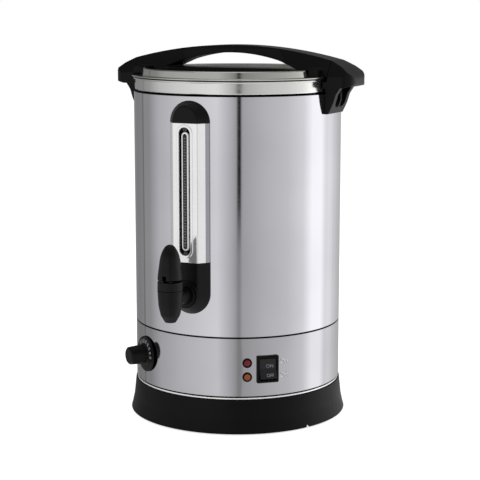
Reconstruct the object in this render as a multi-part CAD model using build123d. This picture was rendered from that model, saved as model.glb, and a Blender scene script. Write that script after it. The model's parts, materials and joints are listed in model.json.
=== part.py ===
"""Hot water urn of about ten litres: a double-walled stainless body on a black base,
a sight gauge and tap at the front (-Y), a lid with an arched handle along X, and a
control band with a thermostat knob, a rocker switch and two pilot lamps.
Origin: centre of the footprint on the table.  +Z up.  Millimetres."""
from build123d import *
import math
import os

# ---------------------------------------------------------------- clearances
SEAT = 0.1            # between pieces that are clamped or seated together
RUN = 0.3             # between bodies that move past each other
PIN_FIT = 0.05        # radial play of a pin or stem in its bore

# ---------------------------------------------------------------- body shells
BODY_R = 120.0        # outer radius of the shell and of the control band
SHEET = 0.8           # stainless sheet
JACKET = 7.0          # from the shell's outside to the tank's outside
TANK_UP = 28.3        # underside of the tank floor above the seam
TANK_CORNER_R = 8.0
BAND_H = 67.3         # height of the control band
SEAM_GAP = 0.6        # open line between band and shell
TONGUE_H = 8.0        # step of the band that reaches up inside the shell
SHELL_H = 266.7       # height of the outer shell
FLANGE_IN = 6.2       # shell and band edges are turned in by this much
COLLAR_SET = 1.0      # widened mouth of the tank, inside the shell's line
COLLAR_GAP = 0.4      # open line between shell and collar
COLLAR_CORNER_R = 3.0
COLLAR_H = 14.5       # up to the centre of the rolled rim
RIM_BEAD_R = 1.2

# ---------------------------------------------------------------- base
SKIRT_FOOT_OUT = 7.1  # how far the skirt stands out of the body at the table
SKIRT_MID_OUT = 3.4   # above the flared foot
SKIRT_LIP_OUT = 0.9   # and at the top
SKIRT_WALL = 2.6
SKIRT_H = 38.0
FLARE_H = 15.0        # height of the flared foot
FOOT_PROUD = 1.5      # the rubber feet hold the skirt this far off the table
NOTCH_ANGLE = 65.0    # drain notch in the skirt's lower edge
NOTCH_W = 8.0
NOTCH_H = 4.0
TRIM_H = 2.1          # bright ring between skirt and control band
TRIM_STEP = 0.6       # dark line above it
TRIM_SET = 0.3
PLATE_Z = 6.0         # underside of the bottom plate
PLATE_T = 1.2
PLATE_IN = 6.8        # plate's edge inside the skirt's wall
VENT_W = 4.0
VENT_L = 26.0
VENT_COUNT = 12
VENT_IN = 30.0
FOOT_IN = 11.0
FOOT_R = 10.0
FOOT_COUNT = 4
FOOT_START = 45.0     # degrees, first foot
FOOT_SCREW_R = 2.0
FOOT_SCREW_HEAD_R = 3.6
ROD_IN = 25.0
ROD_R = 2.5
ROD_NUT_R = 5.0
ROD_NUT_H = 3.6
ROD_COUNT = 3
ROD_START = 30.0

# ---------------------------------------------------------------- heating
HEATER_IN = 33.0      # aluminium plate under the tank floor
HEATER_T = 4.0
ELEMENT_IN = 12.0
ELEMENT_R = 4.2
ELEMENT_OPEN = 40.0   # degrees left open between its two ends
TERMINAL_L = 14.0

# ---------------------------------------------------------------- gauge column
COL_HALF = 23.95      # half width, and radius of both round ends
COL_FACE_HALF = 15.1  # half width of the flat front face
COL_SHOULDER_HALF = 21.0
COL_SHOULDER = 4.0    # the shoulder stands this far off the shell
COL_PROUD = 11.6      # front face ahead of the shell
COL_WALL = 1.6
COL_EDGE_R = 3.0      # rounding of the front face's edge
CAP_FACE_H = 19.0     # the round top end is taller at its face than a half circle
CAP_SHOULDER_H = 22.3
HOUSING_UP = 35.8     # bright cover starts this far above the tap's axis
COVER_DOWN = 28.9     # and ends below the shell's top: centre of the upper round end
WINDOW_W = 13.8
WINDOW_IN_LOW = 7.6
WINDOW_IN_HIGH = 4.2
LIP_W = 19.4          # raised lip round the window
LIP_PROUD = 0.9
PANEL_W = 25.0        # black panel behind the window
PANEL_T = 1.5
PANEL_BACK = 2.7      # face of the panel behind the front face
SLOT_W = 5.0
LENS_W = 8.8
LENS_IN_LOW = 5.2
LENS_IN_HIGH = 5.5
LENS_PROUD = 1.4
TUBE_R = 3.0
TUBE_WALL = 0.8
TUBE_STANDOFF = 4.1   # axis of the sight tube ahead of the shell
SEAL_R = 5.6
SEAL_H = 12.0
UNION_HEAD_R = 6.0
UNION_R = 3.6
UNION_BORE_R = 1.8
UNION_DOWN = 9.1      # lower union below the bright cover
UNION_UP = 4.9        # upper union above it
SCALE_W = 8.0
SCALE_T = 0.5
GAUGE_SCREW_R = 1.6
GAUGE_SCREW_HEAD_R = 2.4
GAUGE_SCREW_IN = 2.6  # from the window's ends
PANEL_RAISE = 0.8     # middle of the panel stands ahead of its edges
PANEL_MARGIN = 3.0

# ---------------------------------------------------------------- tap
TAP_UP = 21.3         # tap axis above the tank floor
SHANK_R = 9.0
SHANK_BORE_R = 5.5
NUT_R = 15.0
NUT_T = 5.0
WASHER_R = 14.0
WASHER_T = 2.0
COLLAR_RING_R = 15.6       # stepped ring where the tap meets the column
COLLAR_STEP_R = 12.6
COLLAR_STEP_T = 1.8
BARREL_REACH = 46.5   # vertical axis of the tap ahead of the shell
BARREL_R = 13.9
NOZZLE_DOWN = 24.0
NOZZLE_R = 6.0
NOZZLE_BORE_R = 4.5
CHAMBER_R = 8.0
SEAT_DOWN = 12.3
PLUG_R = 7.0
PLUG_H = 5.0
BONNET_UP = 11.3
BONNET_H = 10.0
LEVER_GAP = 1.8       # open line between bonnet and lever
LEVER_H = 38.1
LEVER_R = 13.6
LEVER_CAVITY_R = 8.5
LEVER_CAVITY_H = 19.0
PIVOT_AHEAD = 9.5     # lever pivot ahead of the tap's vertical axis
PIVOT_UP = 4.6        # and above the bonnet
LEVER_PIN_R = 1.2
LUG_W = 4.0
LUG_R = 2.3
BONNET_RIBS = 24
BONNET_LINE = 0.8     # height and depth of the line under the bonnet
STEM_R = 2.2
STEM_HEAD_R = 4.2
STEM_HEAD_H = 3.0
STEM_HEAD_UP = 7.0    # underside of the head above the bonnet
SPRING_WIRE_R = 0.5
SPRING_R = 5.2
SPRING_TURNS = 5

# ---------------------------------------------------------------- controls
KNOB_ANGLE = -35.0    # degrees round the body from the tap, towards +X
KNOB_UP = 35.1
DIAL_R = 20.9
DIAL_T = 2.6
GRIP_R = 11.4
GRIP_TIP_R = 10.2
GRIP_FLUTES = 16
KNOB_REACH = 23.5     # front of the knob ahead of the band
KNOB_GAP = 0.5        # dial's back ahead of the band
KNOB_NOSE = 1.6       # chamfer of the grip's nose
FLUTE_R = 0.7
SHAFT_COVER = 5.0     # knob in front of the shaft's end
SHAFT_R = 3.0
SHAFT_DEPTH = 12.0
THERMOSTAT_W = 34.0
THERMOSTAT_D = 24.8
THERMOSTAT_SET = 2.2  # its front behind the band's sheet
CAPILLARY_LEAD = 14.0
CAPILLARY_BEND_R = 5.0
BULB_R = 3.0
BULB_L = 60.0
BULB_X = 18.0         # middle of the bulb
BULB_Y = -20.0
CAPILLARY_R = 1.0
SWITCH_ANGLE = 42.0
SWITCH_UP = 31.6
BEZEL_W = 25.5
BEZEL_H = 31.0
BEZEL_T = 2.4
BEZEL_EDGE = 2.4      # frame round the rocker
SWITCH_DEPTH = 22.0
ROCKER_R = 12.4       # radius of the rocker's ends round its pivot
ROCKER_TILT = 10.0
PIVOT_DEPTH = 2.0     # rocker pivot behind the band's surface
BLADE_X = 5.5         # four blade tabs on the switch's back
BLADE_Z = 7.0
BLADE_W = 6.2
BLADE_T = 0.8
BLADE_L = 9.0
LAMP_ANGLE = 31.0
LAMP_RED_UP = 7.7     # above the switch's middle
LAMP_AMBER_DOWN = 8.3
LAMP_BEZEL_R = 5.45
LAMP_BEZEL_T = 1.4
LAMP_LENS_R = 3.5
LAMP_BODY_R = 4.2
LAMP_DEPTH = 15.0
INLET_UP = 33.6
INLET_W = 23.0
INLET_H = 50.0
INLET_FLANGE_T = 2.5
INLET_DEPTH = 22.0
SOCKET_W = 16.6
SOCKET_H = 24.6
SOCKET_DEPTH = 16.0
INLET_SCREW_PITCH = 40.0
INLET_SCREW_R = 1.7
INLET_SCREW_HEAD_R = 3.0
INLET_SCREW_HEAD_H = 1.7
INLET_BLOCK_H = 29.6  # block behind the flange
INLET_PIN_W = 2.0
INLET_PIN_H = 4.0
INLET_PIN_L = 12.0
INLET_PIN_X = 4.8     # line pins beside the middle and below it; earth pin above
INLET_PIN_Z = 4.0
RESET_ANGLE = 148.0
RESET_BODY_R = 9.0
RESET_BUTTON_R = 3.4
RESET_TRAVEL = 1.5
RESET_RING_T = 1.8    # ring nut ahead of the band
RESET_NECK_R = 7.0
RESET_CASE_W = 18.0
RESET_CASE_H = 24.0
RESET_CASE_D = 18.0
BLOCK_Y = 40.0        # terminal block on the bottom plate
BLOCK_L = 44.0
BLOCK_W = 18.0
BLOCK_H = 14.0
BLOCK_WELL_Z = 6.0
BLOCK_WELL_R = 2.4
BLOCK_SCREW_R = 2.2
BLOCK_SCREW_H = 5.0
BLOCK_PITCH_X = 10.0
BLOCK_PITCH_Y = 8.0

# ---------------------------------------------------------------- lid
LID_OVER = 2.9        # lid's rolled edge stands out of the body
LID_EDGE_R = 0.9
GASKET_T = 0.8
RING_OUT = 1.0        # raised ring of the lid: foot outside the pan, draft and width
RING_DRAFT = 1.1
RING_W = 2.7
RING_H = 8.0
RECESS_H = 1.0        # recess floor above the flange
PAN_GAP = 1.8         # between the pan and the tank's wall
PAN_DEPTH = 12.5
PAN_LIP = 1.4
LID_SCREW_R = 2.0
LID_SCREW_IN = 24.0   # inside the end of the finger gap
LID_SCREW_HEAD_R = 4.0
LID_SCREW_HEAD_H = 2.4
LID_SCREW_UP = 6.0    # above the recess, into the handle

# ---------------------------------------------------------------- handles
SEAM_OUT = 5.0        # joint between the lid's handle and the side handles
ARCH_H = 34.8         # back of the arch above the lid's flange
ARCH_DROP = 15.9095   # its fall from the middle to the seam
ARCH_T = 8.6          # thickness at the middle
GRIP_IN = 36.0        # ends of the finger gap inside the body's line
BAR_OVER = 0.0        # base bar above the lid's ring
HALF_BAR = 15.0       # half width of the base bar
FLARE_L = 27.0        # it widens to the foot over this length
FLARE_IN = 20.6
BAR_BEND_R = 12.0
STEP_HALF = 38.5      # half width of the feet that step over the ring
STEP_OVER = 1.1       # their top above the ring
STEP_IN = 2.5         # they start this far inside the ring
STEP_EDGE = 6.4       # and end this far inside the lid's edge
STEP_R = 2.2
HALF_LOW = 27.0       # half width of the handles at their foot
HALF_MID = 17.5       # at the seam's top edge
HALF_TOP = 13.0       # and at the top of the arch
HALF_LOW_UP = 1.7
HALF_MID_UP = 18.7
EAR_REACH = 31.0
EAR_CORNER_R = 16.0
EAR_UP = 5.6
EAR_END_UP = 3.4
EAR_WALL = 3.0
EAR_FALL = [(13.0, 6.4, 30), (5.5, 12.4, 14), (0, 18.0, 9)]   # in from the end, down, radius
EAR_HOLLOW_L = 17.0   # length of the hollow under the ear, with the end wall
EAR_LIP_IN = 14.0     # its lower edge turns up this far from the end
BRACKET_HALF = 22.0
BRACKET_DOWN = 22.8
BRACKET_CURVE = [(11.0, 21.5, 8), (8.0, 12.0, 12), (5.0, 5.5, 12)]   # off shell, up, radius
BRACKET_TOE = 2.2     # thickness at its lower edge
POCKET_WALL = 8.0     # side walls of the hollow in the bracket's outer face
POCKET_FLOOR = 4.8    # its floor ahead of the shell's line
POCKET_UP = 7.5       # its lower end above the bracket's
POCKET_CORNER_R = 6.0
RIB_HALF = 1.3        # rib that stands in the middle of the hollow
RIB_REACH = 9.0
HANDLE_SCREW_R = 2.0
HANDLE_SCREW_UP = 15.0
HANDLE_SCREW_Y = 12.0
HANDLE_SCREW_IN = 3.4     # into the bracket
HANDLE_SCREW_HEAD_R = 3.6
HANDLE_SCREW_HEAD_H = 2.2

# ---------------------------------------------------------------- derived
SKIRT_TOP_Z = FOOT_PROUD + SKIRT_H
PLATE_TOP_Z = PLATE_Z + PLATE_T + SEAT       # where pieces rest on the bottom plate
TRIM_Z = SKIRT_TOP_Z + SEAT
BAND_Z = TRIM_Z + TRIM_H + TRIM_STEP + SEAT
SEAM_Z = BAND_Z + BAND_H                     # top edge of the control band
SHELL_Z = SEAM_Z + SEAM_GAP
SHELL_TOP_Z = SHELL_Z + SHELL_H
COLLAR_Z = SHELL_TOP_Z + COLLAR_GAP
RIM_Z = COLLAR_Z + COLLAR_H                  # centre of the rolled rim
GASKET_Z = RIM_Z + RIM_BEAD_R + RUN
LID_Z = GASKET_Z + GASKET_T + SEAT           # underside of the lid's flange
RING_TOP_Z = LID_Z + SHEET + RING_H
RECESS_Z = LID_Z + SHEET + RECESS_H          # top of the recess floor
TANK_R = BODY_R - JACKET
TANK_IN_R = TANK_R - SHEET
TANK_FLOOR_Z = SEAM_Z + TANK_UP
COLLAR_R = BODY_R - COLLAR_SET
SKIRT_FOOT_R = BODY_R + SKIRT_FOOT_OUT
SKIRT_MID_R = BODY_R + SKIRT_MID_OUT
SKIRT_LIP_R = BODY_R + SKIRT_LIP_OUT
TRIM_R = BODY_R - TRIM_SET
PLATE_R = SKIRT_MID_R - SKIRT_WALL - PLATE_IN
VENT_PITCH_R = PLATE_R - VENT_IN
FOOT_PITCH_R = PLATE_R - FOOT_IN
HEATER_R = TANK_R - HEATER_IN
HEATER_Z = TANK_FLOOR_Z - SEAT - HEATER_T    # underside of the heater plate
ROD_PITCH_R = HEATER_R - ROD_IN
ELEMENT_RING_R = HEATER_R - ELEMENT_IN
TAP_Z = TANK_FLOOR_Z + TAP_UP                # also centre of the column's lower round end
NOZZLE_Z = TAP_Z - NOZZLE_DOWN
VALVE_SEAT_Z = TAP_Z - SEAT_DOWN
BONNET_Z = TAP_Z + BONNET_UP
BONNET_TOP_Z = BONNET_Z + BONNET_H
LEVER_Z = BONNET_TOP_Z + LEVER_GAP
BARREL_Y = -(BODY_R + BARREL_REACH)
PIVOT_Y = BARREL_Y - PIVOT_AHEAD
PIVOT_Z = BONNET_TOP_Z + PIVOT_UP
FRONT_Y = -(BODY_R + COL_PROUD)
COVER_Z0 = TAP_Z + HOUSING_UP
COVER_Z1 = SHELL_TOP_Z - COVER_DOWN
WINDOW_Z0 = COVER_Z0 + WINDOW_IN_LOW
WINDOW_Z1 = COVER_Z1 - WINDOW_IN_HIGH
LENS_Z0 = WINDOW_Z0 + LENS_IN_LOW
LENS_Z1 = WINDOW_Z1 - LENS_IN_HIGH
UNION_LOW_Z = COVER_Z0 - UNION_DOWN
UNION_HIGH_Z = COVER_Z1 + UNION_UP
TUBE_Y = -(BODY_R + TUBE_STANDOFF)
PANEL_Y = FRONT_Y + PANEL_BACK               # front of the gauge panel
KNOB_Z = BAND_Z + KNOB_UP
SWITCH_Z = BAND_Z + SWITCH_UP
LAMP_RED_Z = SWITCH_Z + LAMP_RED_UP
LAMP_AMBER_Z = SWITCH_Z - LAMP_AMBER_DOWN
INLET_Z = BAND_Z + INLET_UP
RESET_Z = INLET_Z
LID_R = BODY_R + LID_OVER
PAN_R = TANK_IN_R - PAN_GAP
RING_FOOT_R = PAN_R + RING_OUT
RING_TOP_R = RING_FOOT_R - RING_DRAFT
RING_IN_R = RING_TOP_R - RING_W
SEAM_R = BODY_R + SEAM_OUT
ARCH_R = (SEAM_R ** 2 + ARCH_DROP ** 2) / (2 * ARCH_DROP)
ARCH_TOP_Z = LID_Z + ARCH_H
GRIP_UNDER_Z = ARCH_TOP_Z - ARCH_T
GRIP_HALF_SPAN = BODY_R - GRIP_IN
BAR_TOP_Z = RING_TOP_Z + BAR_OVER
FLARE_X1 = RING_IN_R - FLARE_IN
FLARE_X0 = FLARE_X1 - FLARE_L
LID_SCREW_X = GRIP_HALF_SPAN - LID_SCREW_IN
HALF_LOW_Z = LID_Z + HALF_LOW_UP
HALF_MID_Z = LID_Z + HALF_MID_UP
EAR_END_X = BODY_R + EAR_REACH
EAR_HOLLOW_X = EAR_END_X - EAR_HOLLOW_L
EAR_LOW_Z = SHELL_TOP_Z + EAR_UP
EAR_END_Z0 = EAR_LOW_Z + EAR_END_UP
BRACKET_Z0 = SHELL_TOP_Z - BRACKET_DOWN
HANDLE_SCREW_Z = BRACKET_Z0 + HANDLE_SCREW_UP
HIGH = BODY_R * 5                            # beyond every piece, for cutting tools

PARTS = {}


# ---------------------------------------------------------------- helpers
def outline(points):
    """Closed face in the XZ plane from (x, z) or (x, z, corner radius) points."""
    corners = [(p[0], p[1]) for p in points]
    radii = [p[2] if len(p) > 2 else 0 for p in points]
    return Plane.XZ * make_face(FilletPolyline(*corners, radius=radii, close=True))


def lathe(points):
    """Solid of revolution about Z from (radius, height) points."""
    return revolve(outline(points), axis=Axis.Z)


def tube(r_out, r_in, z0, z1, x=0.0, y=0.0):
    return Pos(x, y, 0) * lathe([(r_in, z0), (r_out, z0), (r_out, z1), (r_in, z1)])


def disc(r, z0, z1, x=0.0, y=0.0):
    return Pos(x, y, (z0 + z1) / 2) * Cylinder(r, z1 - z0)


def rod_y(r, y0, y1, x=0.0, z=0.0):
    """Round bar along Y."""
    return Pos(x, (y0 + y1) / 2, z) * Rot(90, 0, 0) * Cylinder(r, abs(y1 - y0))


def rod_x(r, x0, x1, y=0.0, z=0.0):
    """Round bar along X."""
    return Pos((x0 + x1) / 2, y, z) * Rot(0, 90, 0) * Cylinder(r, abs(x1 - x0))


def block(x0, x1, y0, y1, z0, z1):
    return Pos((x0 + x1) / 2, (y0 + y1) / 2, (z0 + z1) / 2) * Box(x1 - x0, y1 - y0, z1 - z0)


def lathe_front(points, z):
    """Solid of revolution about a line along Y from (radius, distance from Z axis) points."""
    turned_up = lathe([(p[0], *p[1:]) for p in points])
    return Pos(0, 0, z) * Rot(90, 0, 0) * turned_up


def around(angle, shape):
    """Swing a piece round the body, from the front towards +X."""
    return Rot(0, 0, angle) * shape


def outside(shape, radius):
    """Keep what lies outside an upright cylinder, so that a piece seats on a shell."""
    return shape - disc(radius, -HIGH, HIGH)


def inside(shape, radius):
    return shape & disc(radius, -HIGH, HIGH)


def stadium(width, z0, z1, y0, y1):
    """Upright slot shape with round ends, facing the front."""
    r = width / 2
    middle = block(-r, r, y0, y1, z0 + r, z1 - r)
    return middle + rod_y(r, y0, y1, z=z0 + r) + rod_y(r, y0, y1, z=z1 - r)


def ring_places(count, radius, start=0.0):
    for i in range(count):
        a = math.radians(start + 360.0 * i / count)
        yield radius * math.cos(a), radius * math.sin(a)


def keep(name, shape):
    """Store a node: one solid, or a group of separate solids."""
    solids = shape.solids()
    PARTS[name] = solids[0] if len(solids) == 1 else Compound(children=list(solids))


def gather(shapes):
    return Compound(children=[s for shape in shapes for s in shape.solids()])


# ---------------------------------------------------------------- base
def base_skirt():
    """Flared moulding with a foot flange over the plate and a ledge under the trim ring."""
    inner_low = SKIRT_MID_R - SKIRT_WALL
    skirt = lathe([
        (SKIRT_FOOT_R, FOOT_PROUD, 0.6),
        (SKIRT_FOOT_R - 1.0, FOOT_PROUD + FLARE_H / 5, 6),
        (SKIRT_MID_R, FOOT_PROUD + FLARE_H, 30),
        (SKIRT_LIP_R, SKIRT_TOP_Z, 1.0),
        (BODY_R - FLANGE_IN, SKIRT_TOP_Z),
        (BODY_R - FLANGE_IN, SKIRT_TOP_Z - SKIRT_WALL),
        (SKIRT_LIP_R - SKIRT_WALL, SKIRT_TOP_Z - SKIRT_WALL, 1.5),
        (inner_low, FOOT_PROUD + FLARE_H),
        (inner_low, PLATE_TOP_Z + SKIRT_WALL, 1.5),
        (FOOT_PITCH_R - FOOT_R - SKIRT_WALL, PLATE_TOP_Z + SKIRT_WALL),
        (FOOT_PITCH_R - FOOT_R - SKIRT_WALL, PLATE_TOP_Z),
        (PLATE_R + RUN, PLATE_TOP_Z),
        (PLATE_R + RUN, PLATE_Z),
        (inner_low, PLATE_Z),
        (SKIRT_FOOT_R - SKIRT_WALL, FOOT_PROUD),
    ])
    for x, y in ring_places(FOOT_COUNT, FOOT_PITCH_R, FOOT_START):
        skirt -= disc(FOOT_SCREW_R + SEAT, 0, SKIRT_H, x, y)
    notch_face = Plane.XZ * make_face(Polyline(
        (-NOTCH_W / 2, 0), (NOTCH_W / 2, 0), (0, FOOT_PROUD + NOTCH_H), close=True))
    notch = extrude(notch_face, amount=SKIRT_FOOT_R + 5) - disc(inner_low, -5, SKIRT_H)
    return skirt - around(NOTCH_ANGLE, notch)


def bottom_plate():
    """Pressed plate that closes the base, with radial vent slots and stud holes."""
    plate = disc(PLATE_R, PLATE_Z, PLATE_Z + PLATE_T)
    slot = SlotOverall(VENT_L, VENT_W)
    cutter = Pos(VENT_PITCH_R, 0, PLATE_Z - 1) * extrude(slot, amount=PLATE_T + 2)
    for i in range(VENT_COUNT):
        plate -= Rot(0, 0, 360.0 * (i + 0.5) / VENT_COUNT) * cutter
    for x, y in ring_places(FOOT_COUNT, FOOT_PITCH_R, FOOT_START):
        plate -= disc(FOOT_SCREW_R + SEAT, 0, 20, x, y)
    for x, y in ring_places(ROD_COUNT, ROD_PITCH_R, ROD_START):
        plate -= disc(ROD_R + RUN, 0, 20, x, y)
    return plate


def rubber_feet():
    """Four cups with a recess for the screw head."""
    foot = lathe([
        (0, 2.5), (FOOT_SCREW_HEAD_R + SEAT, 2.5), (FOOT_SCREW_HEAD_R + SEAT, 0),
        (FOOT_R, 0, 1.5), (FOOT_R - 1.0, PLATE_Z - SEAT), (0, PLATE_Z - SEAT)])
    foot -= disc(FOOT_SCREW_R + SEAT, 0, PLATE_Z)
    return gather(Pos(x, y, 0) * foot for x, y in ring_places(FOOT_COUNT, FOOT_PITCH_R, FOOT_START))


def foot_screws():
    top = PLATE_TOP_Z + SKIRT_WALL + 3.0
    screw = disc(FOOT_SCREW_HEAD_R, 0.6, 2.5) + disc(FOOT_SCREW_R, 2.5, top)
    return gather(Pos(x, y, 0) * screw for x, y in ring_places(FOOT_COUNT, FOOT_PITCH_R, FOOT_START))


def tie_rods():
    """Studs of the heater plate that hold the base plate up."""
    low = PLATE_Z - ROD_NUT_H - 1.0
    rods = [disc(ROD_R, low, HEATER_Z, x, y) for x, y in ring_places(ROD_COUNT, ROD_PITCH_R, ROD_START)]
    return gather(rods)


def tie_nuts():
    nut = extrude(RegularPolygon(ROD_NUT_R, 6), amount=ROD_NUT_H) - disc(ROD_R + PIN_FIT, -1, 20)
    low = PLATE_Z - SEAT - ROD_NUT_H
    return gather(Pos(x, y, low) * nut for x, y in ring_places(ROD_COUNT, ROD_PITCH_R, ROD_START))


def trim_ring():
    """Bright ring; its inner step leaves a dark line under the control band."""
    return lathe([
        (BODY_R - FLANGE_IN, TRIM_Z), (TRIM_R, TRIM_Z, 0.5), (TRIM_R, TRIM_Z + TRIM_H, 0.5),
        (TRIM_R - 1.4, TRIM_Z + TRIM_H), (TRIM_R - 1.4, TRIM_Z + TRIM_H + TRIM_STEP),
        (BODY_R - FLANGE_IN, TRIM_Z + TRIM_H + TRIM_STEP)])


# ---------------------------------------------------------------- shells
def control_band():
    """Lower shell: turned-in foot, and a tongue that the upper shell slips over."""
    tongue_r = BODY_R - SHEET - SEAT
    band = lathe([
        (BODY_R - FLANGE_IN, BAND_Z), (BODY_R, BAND_Z, 0.6), (BODY_R, SEAM_Z, 0.5),
        (tongue_r, SEAM_Z), (tongue_r, SEAM_Z + TONGUE_H),
        (tongue_r - SHEET, SEAM_Z + TONGUE_H), (tongue_r - SHEET, SEAM_Z - SHEET),
        (BODY_R - SHEET, SEAM_Z - SHEET), (BODY_R - SHEET, BAND_Z + SHEET),
        (BODY_R - FLANGE_IN, BAND_Z + SHEET)])
    band -= around(KNOB_ANGLE, rod_y(SHAFT_R + 1.0, -HIGH, 0, z=KNOB_Z))
    body_w, body_h = BEZEL_W - 3.0, BEZEL_H - 3.0
    band -= around(SWITCH_ANGLE, block(
        -body_w / 2 - SEAT, body_w / 2 + SEAT, -HIGH, 0,
        SWITCH_Z - body_h / 2 - SEAT, SWITCH_Z + body_h / 2 + SEAT))
    for z in (LAMP_RED_Z, LAMP_AMBER_Z):
        band -= around(LAMP_ANGLE, rod_y(LAMP_BODY_R + SEAT, -HIGH, 0, z=z))
    band -= around(180, block(
        -INLET_W / 2 + 1, INLET_W / 2 - 1, -HIGH, 0,
        INLET_Z - INLET_BLOCK_H / 2 - RUN, INLET_Z + INLET_BLOCK_H / 2 + RUN))
    for side in (-1, 1):
        z = INLET_Z + side * INLET_SCREW_PITCH / 2
        band -= around(180, rod_y(INLET_SCREW_R + SEAT, -HIGH, 0, z=z))
    return band - around(RESET_ANGLE, rod_y(RESET_NECK_R + SEAT, -HIGH, 0, z=RESET_Z))


def outer_shell():
    shell = lathe([
        (BODY_R - SHEET, SHELL_Z), (BODY_R, SHELL_Z, 0.3), (BODY_R, SHELL_TOP_Z, 0.7),
        (BODY_R - FLANGE_IN, SHELL_TOP_Z), (BODY_R - FLANGE_IN, SHELL_TOP_Z - SHEET),
        (BODY_R - SHEET, SHELL_TOP_Z - SHEET)])
    shell -= rod_y(COLLAR_STEP_R + RUN, -HIGH, 0, z=TAP_Z)
    for z in (UNION_LOW_Z, UNION_HIGH_Z):
        shell -= rod_y(UNION_R + SEAT, -HIGH, 0, z=z)
    for side in (-1, 1):
        for y in (-HANDLE_SCREW_Y, HANDLE_SCREW_Y):
            shell -= rod_x(HANDLE_SCREW_R + SEAT, 0, side * HIGH, y, HANDLE_SCREW_Z)
    return shell


def inner_tank():
    """Drawn pot with a widened collar that rests on the shell and ends in a rolled rim."""
    r, t = TANK_R, SHEET
    collar_in = COLLAR_R - t
    pot = lathe([
        (0, TANK_FLOOR_Z), (r, TANK_FLOOR_Z, TANK_CORNER_R), (r, COLLAR_Z, 0.5),
        (COLLAR_R, COLLAR_Z, COLLAR_CORNER_R), (COLLAR_R, RIM_Z), (collar_in, RIM_Z),
        (collar_in, COLLAR_Z + t, COLLAR_CORNER_R - t), (r - t, COLLAR_Z + t, 0.8),
        (r - t, TANK_FLOOR_Z + t, TANK_CORNER_R - t), (0, TANK_FLOOR_Z + t)])
    bead_r = COLLAR_R + RIM_BEAD_R - t / 2
    bead = revolve(Plane.XZ * Pos(bead_r, RIM_Z) * Circle(RIM_BEAD_R), axis=Axis.Z)
    pot += bead
    pot -= rod_y(SHANK_R + SEAT, -HIGH, 0, z=TAP_Z)
    for z in (UNION_LOW_Z, UNION_HIGH_Z):
        pot -= rod_y(UNION_R + SEAT, -HIGH, 0, z=z)
    return pot


# ---------------------------------------------------------------- heating
def heater_plate():
    return disc(HEATER_R, HEATER_Z, HEATER_Z + HEATER_T)


def heating_element():
    """Open ring of tubular element brazed under the plate, with two turned-down ends."""
    z = HEATER_Z - SEAT - ELEMENT_R
    sweep_angle = 360.0 - ELEMENT_OPEN
    circle = Plane.XZ * Pos(ELEMENT_RING_R, z) * Circle(ELEMENT_R)
    ring = Rot(0, 0, 90 + ELEMENT_OPEN / 2) * revolve(circle, axis=Axis.Z, revolution_arc=sweep_angle)
    for side in (-1, 1):
        a = math.radians(90 + side * ELEMENT_OPEN / 2)
        x, y = ELEMENT_RING_R * math.cos(a), ELEMENT_RING_R * math.sin(a)
        ring += disc(ELEMENT_R - 0.4, z - TERMINAL_L, z, x, y)
    return ring


def sensor_bulb():
    """Thermostat bulb clipped under the heater plate, and its capillary to the knob."""
    z = HEATER_Z - SEAT - BULB_R
    return Pos(BULB_X, BULB_Y, z) * Rot(0, 90, 0) * Cylinder(BULB_R, BULB_L)


def thermostat_front():
    """Distance of the thermostat's front from the Z axis."""
    return BODY_R - SHEET - THERMOSTAT_SET


def thermostat_back():
    return thermostat_front() - THERMOSTAT_D


def capillary_tube():
    """Bent pipe from the bulb's end down to the thermostat."""
    a = math.radians(KNOB_ANGLE)
    r = thermostat_back() - SEAT
    end = (r * math.sin(a), -r * math.cos(a))
    lead = r - CAPILLARY_LEAD
    near = (lead * math.sin(a), -lead * math.cos(a))
    z = HEATER_Z - SEAT - BULB_R
    x0 = BULB_X - BULB_L / 2 - SEAT
    path = FilletPolyline(
        (x0, BULB_Y, z), (near[0], BULB_Y, z), (near[0], near[1], KNOB_Z), (end[0], end[1], KNOB_Z),
        radius=CAPILLARY_BEND_R)
    start = Plane(origin=(x0, BULB_Y, z), z_dir=(-1, 0, 0))
    return sweep(start * Circle(CAPILLARY_R), path=path)


def thermostat_body():
    """Switch block behind the band, with the threaded neck that the shaft turns in."""
    w, back = THERMOSTAT_W, thermostat_back()
    front = thermostat_front()
    body = block(-w / 2, w / 2, -front, -back, KNOB_Z - w / 2, KNOB_Z + w / 2)
    body = inside(body, BODY_R - SHEET - SEAT)
    body -= rod_y(SHAFT_R + PIN_FIT, -HIGH, -(front - SHAFT_DEPTH), z=KNOB_Z)
    return around(KNOB_ANGLE, body)


def thermostat_shaft():
    front = BODY_R + KNOB_REACH - SHAFT_COVER
    inner = thermostat_front() - SHAFT_DEPTH + SEAT
    return around(KNOB_ANGLE, rod_y(SHAFT_R, -front, -inner, z=KNOB_Z))


def thermostat_knob():
    """Dial skirt with a tall fluted grip; the grip has a chamfered nose."""
    back = BODY_R + KNOB_GAP
    tip = BODY_R + KNOB_REACH
    knob = lathe_front([
        (0, back), (DIAL_R, back, 0.5), (DIAL_R - 0.6, back + DIAL_T - 0.8, 0.6),
        (GRIP_R + 1.0, back + DIAL_T), (GRIP_R, back + DIAL_T + 0.8),
        (GRIP_TIP_R, tip - KNOB_NOSE, 0.8), (GRIP_TIP_R - KNOB_NOSE, tip, 0.6), (0, tip)], KNOB_Z)
    for i in range(GRIP_FLUTES):
        a = 360.0 * (i + 0.5) / GRIP_FLUTES
        groove = rod_y(FLUTE_R, -(tip + 1), -(back + DIAL_T + KNOB_NOSE), x=GRIP_R + 0.1)
        knob -= Pos(0, 0, KNOB_Z) * Rot(0, a, 0) * groove
    knob -= rod_y(SHAFT_R + SEAT, -(tip - SHAFT_COVER + SEAT), 0, z=KNOB_Z)
    return around(KNOB_ANGLE, knob)


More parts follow.
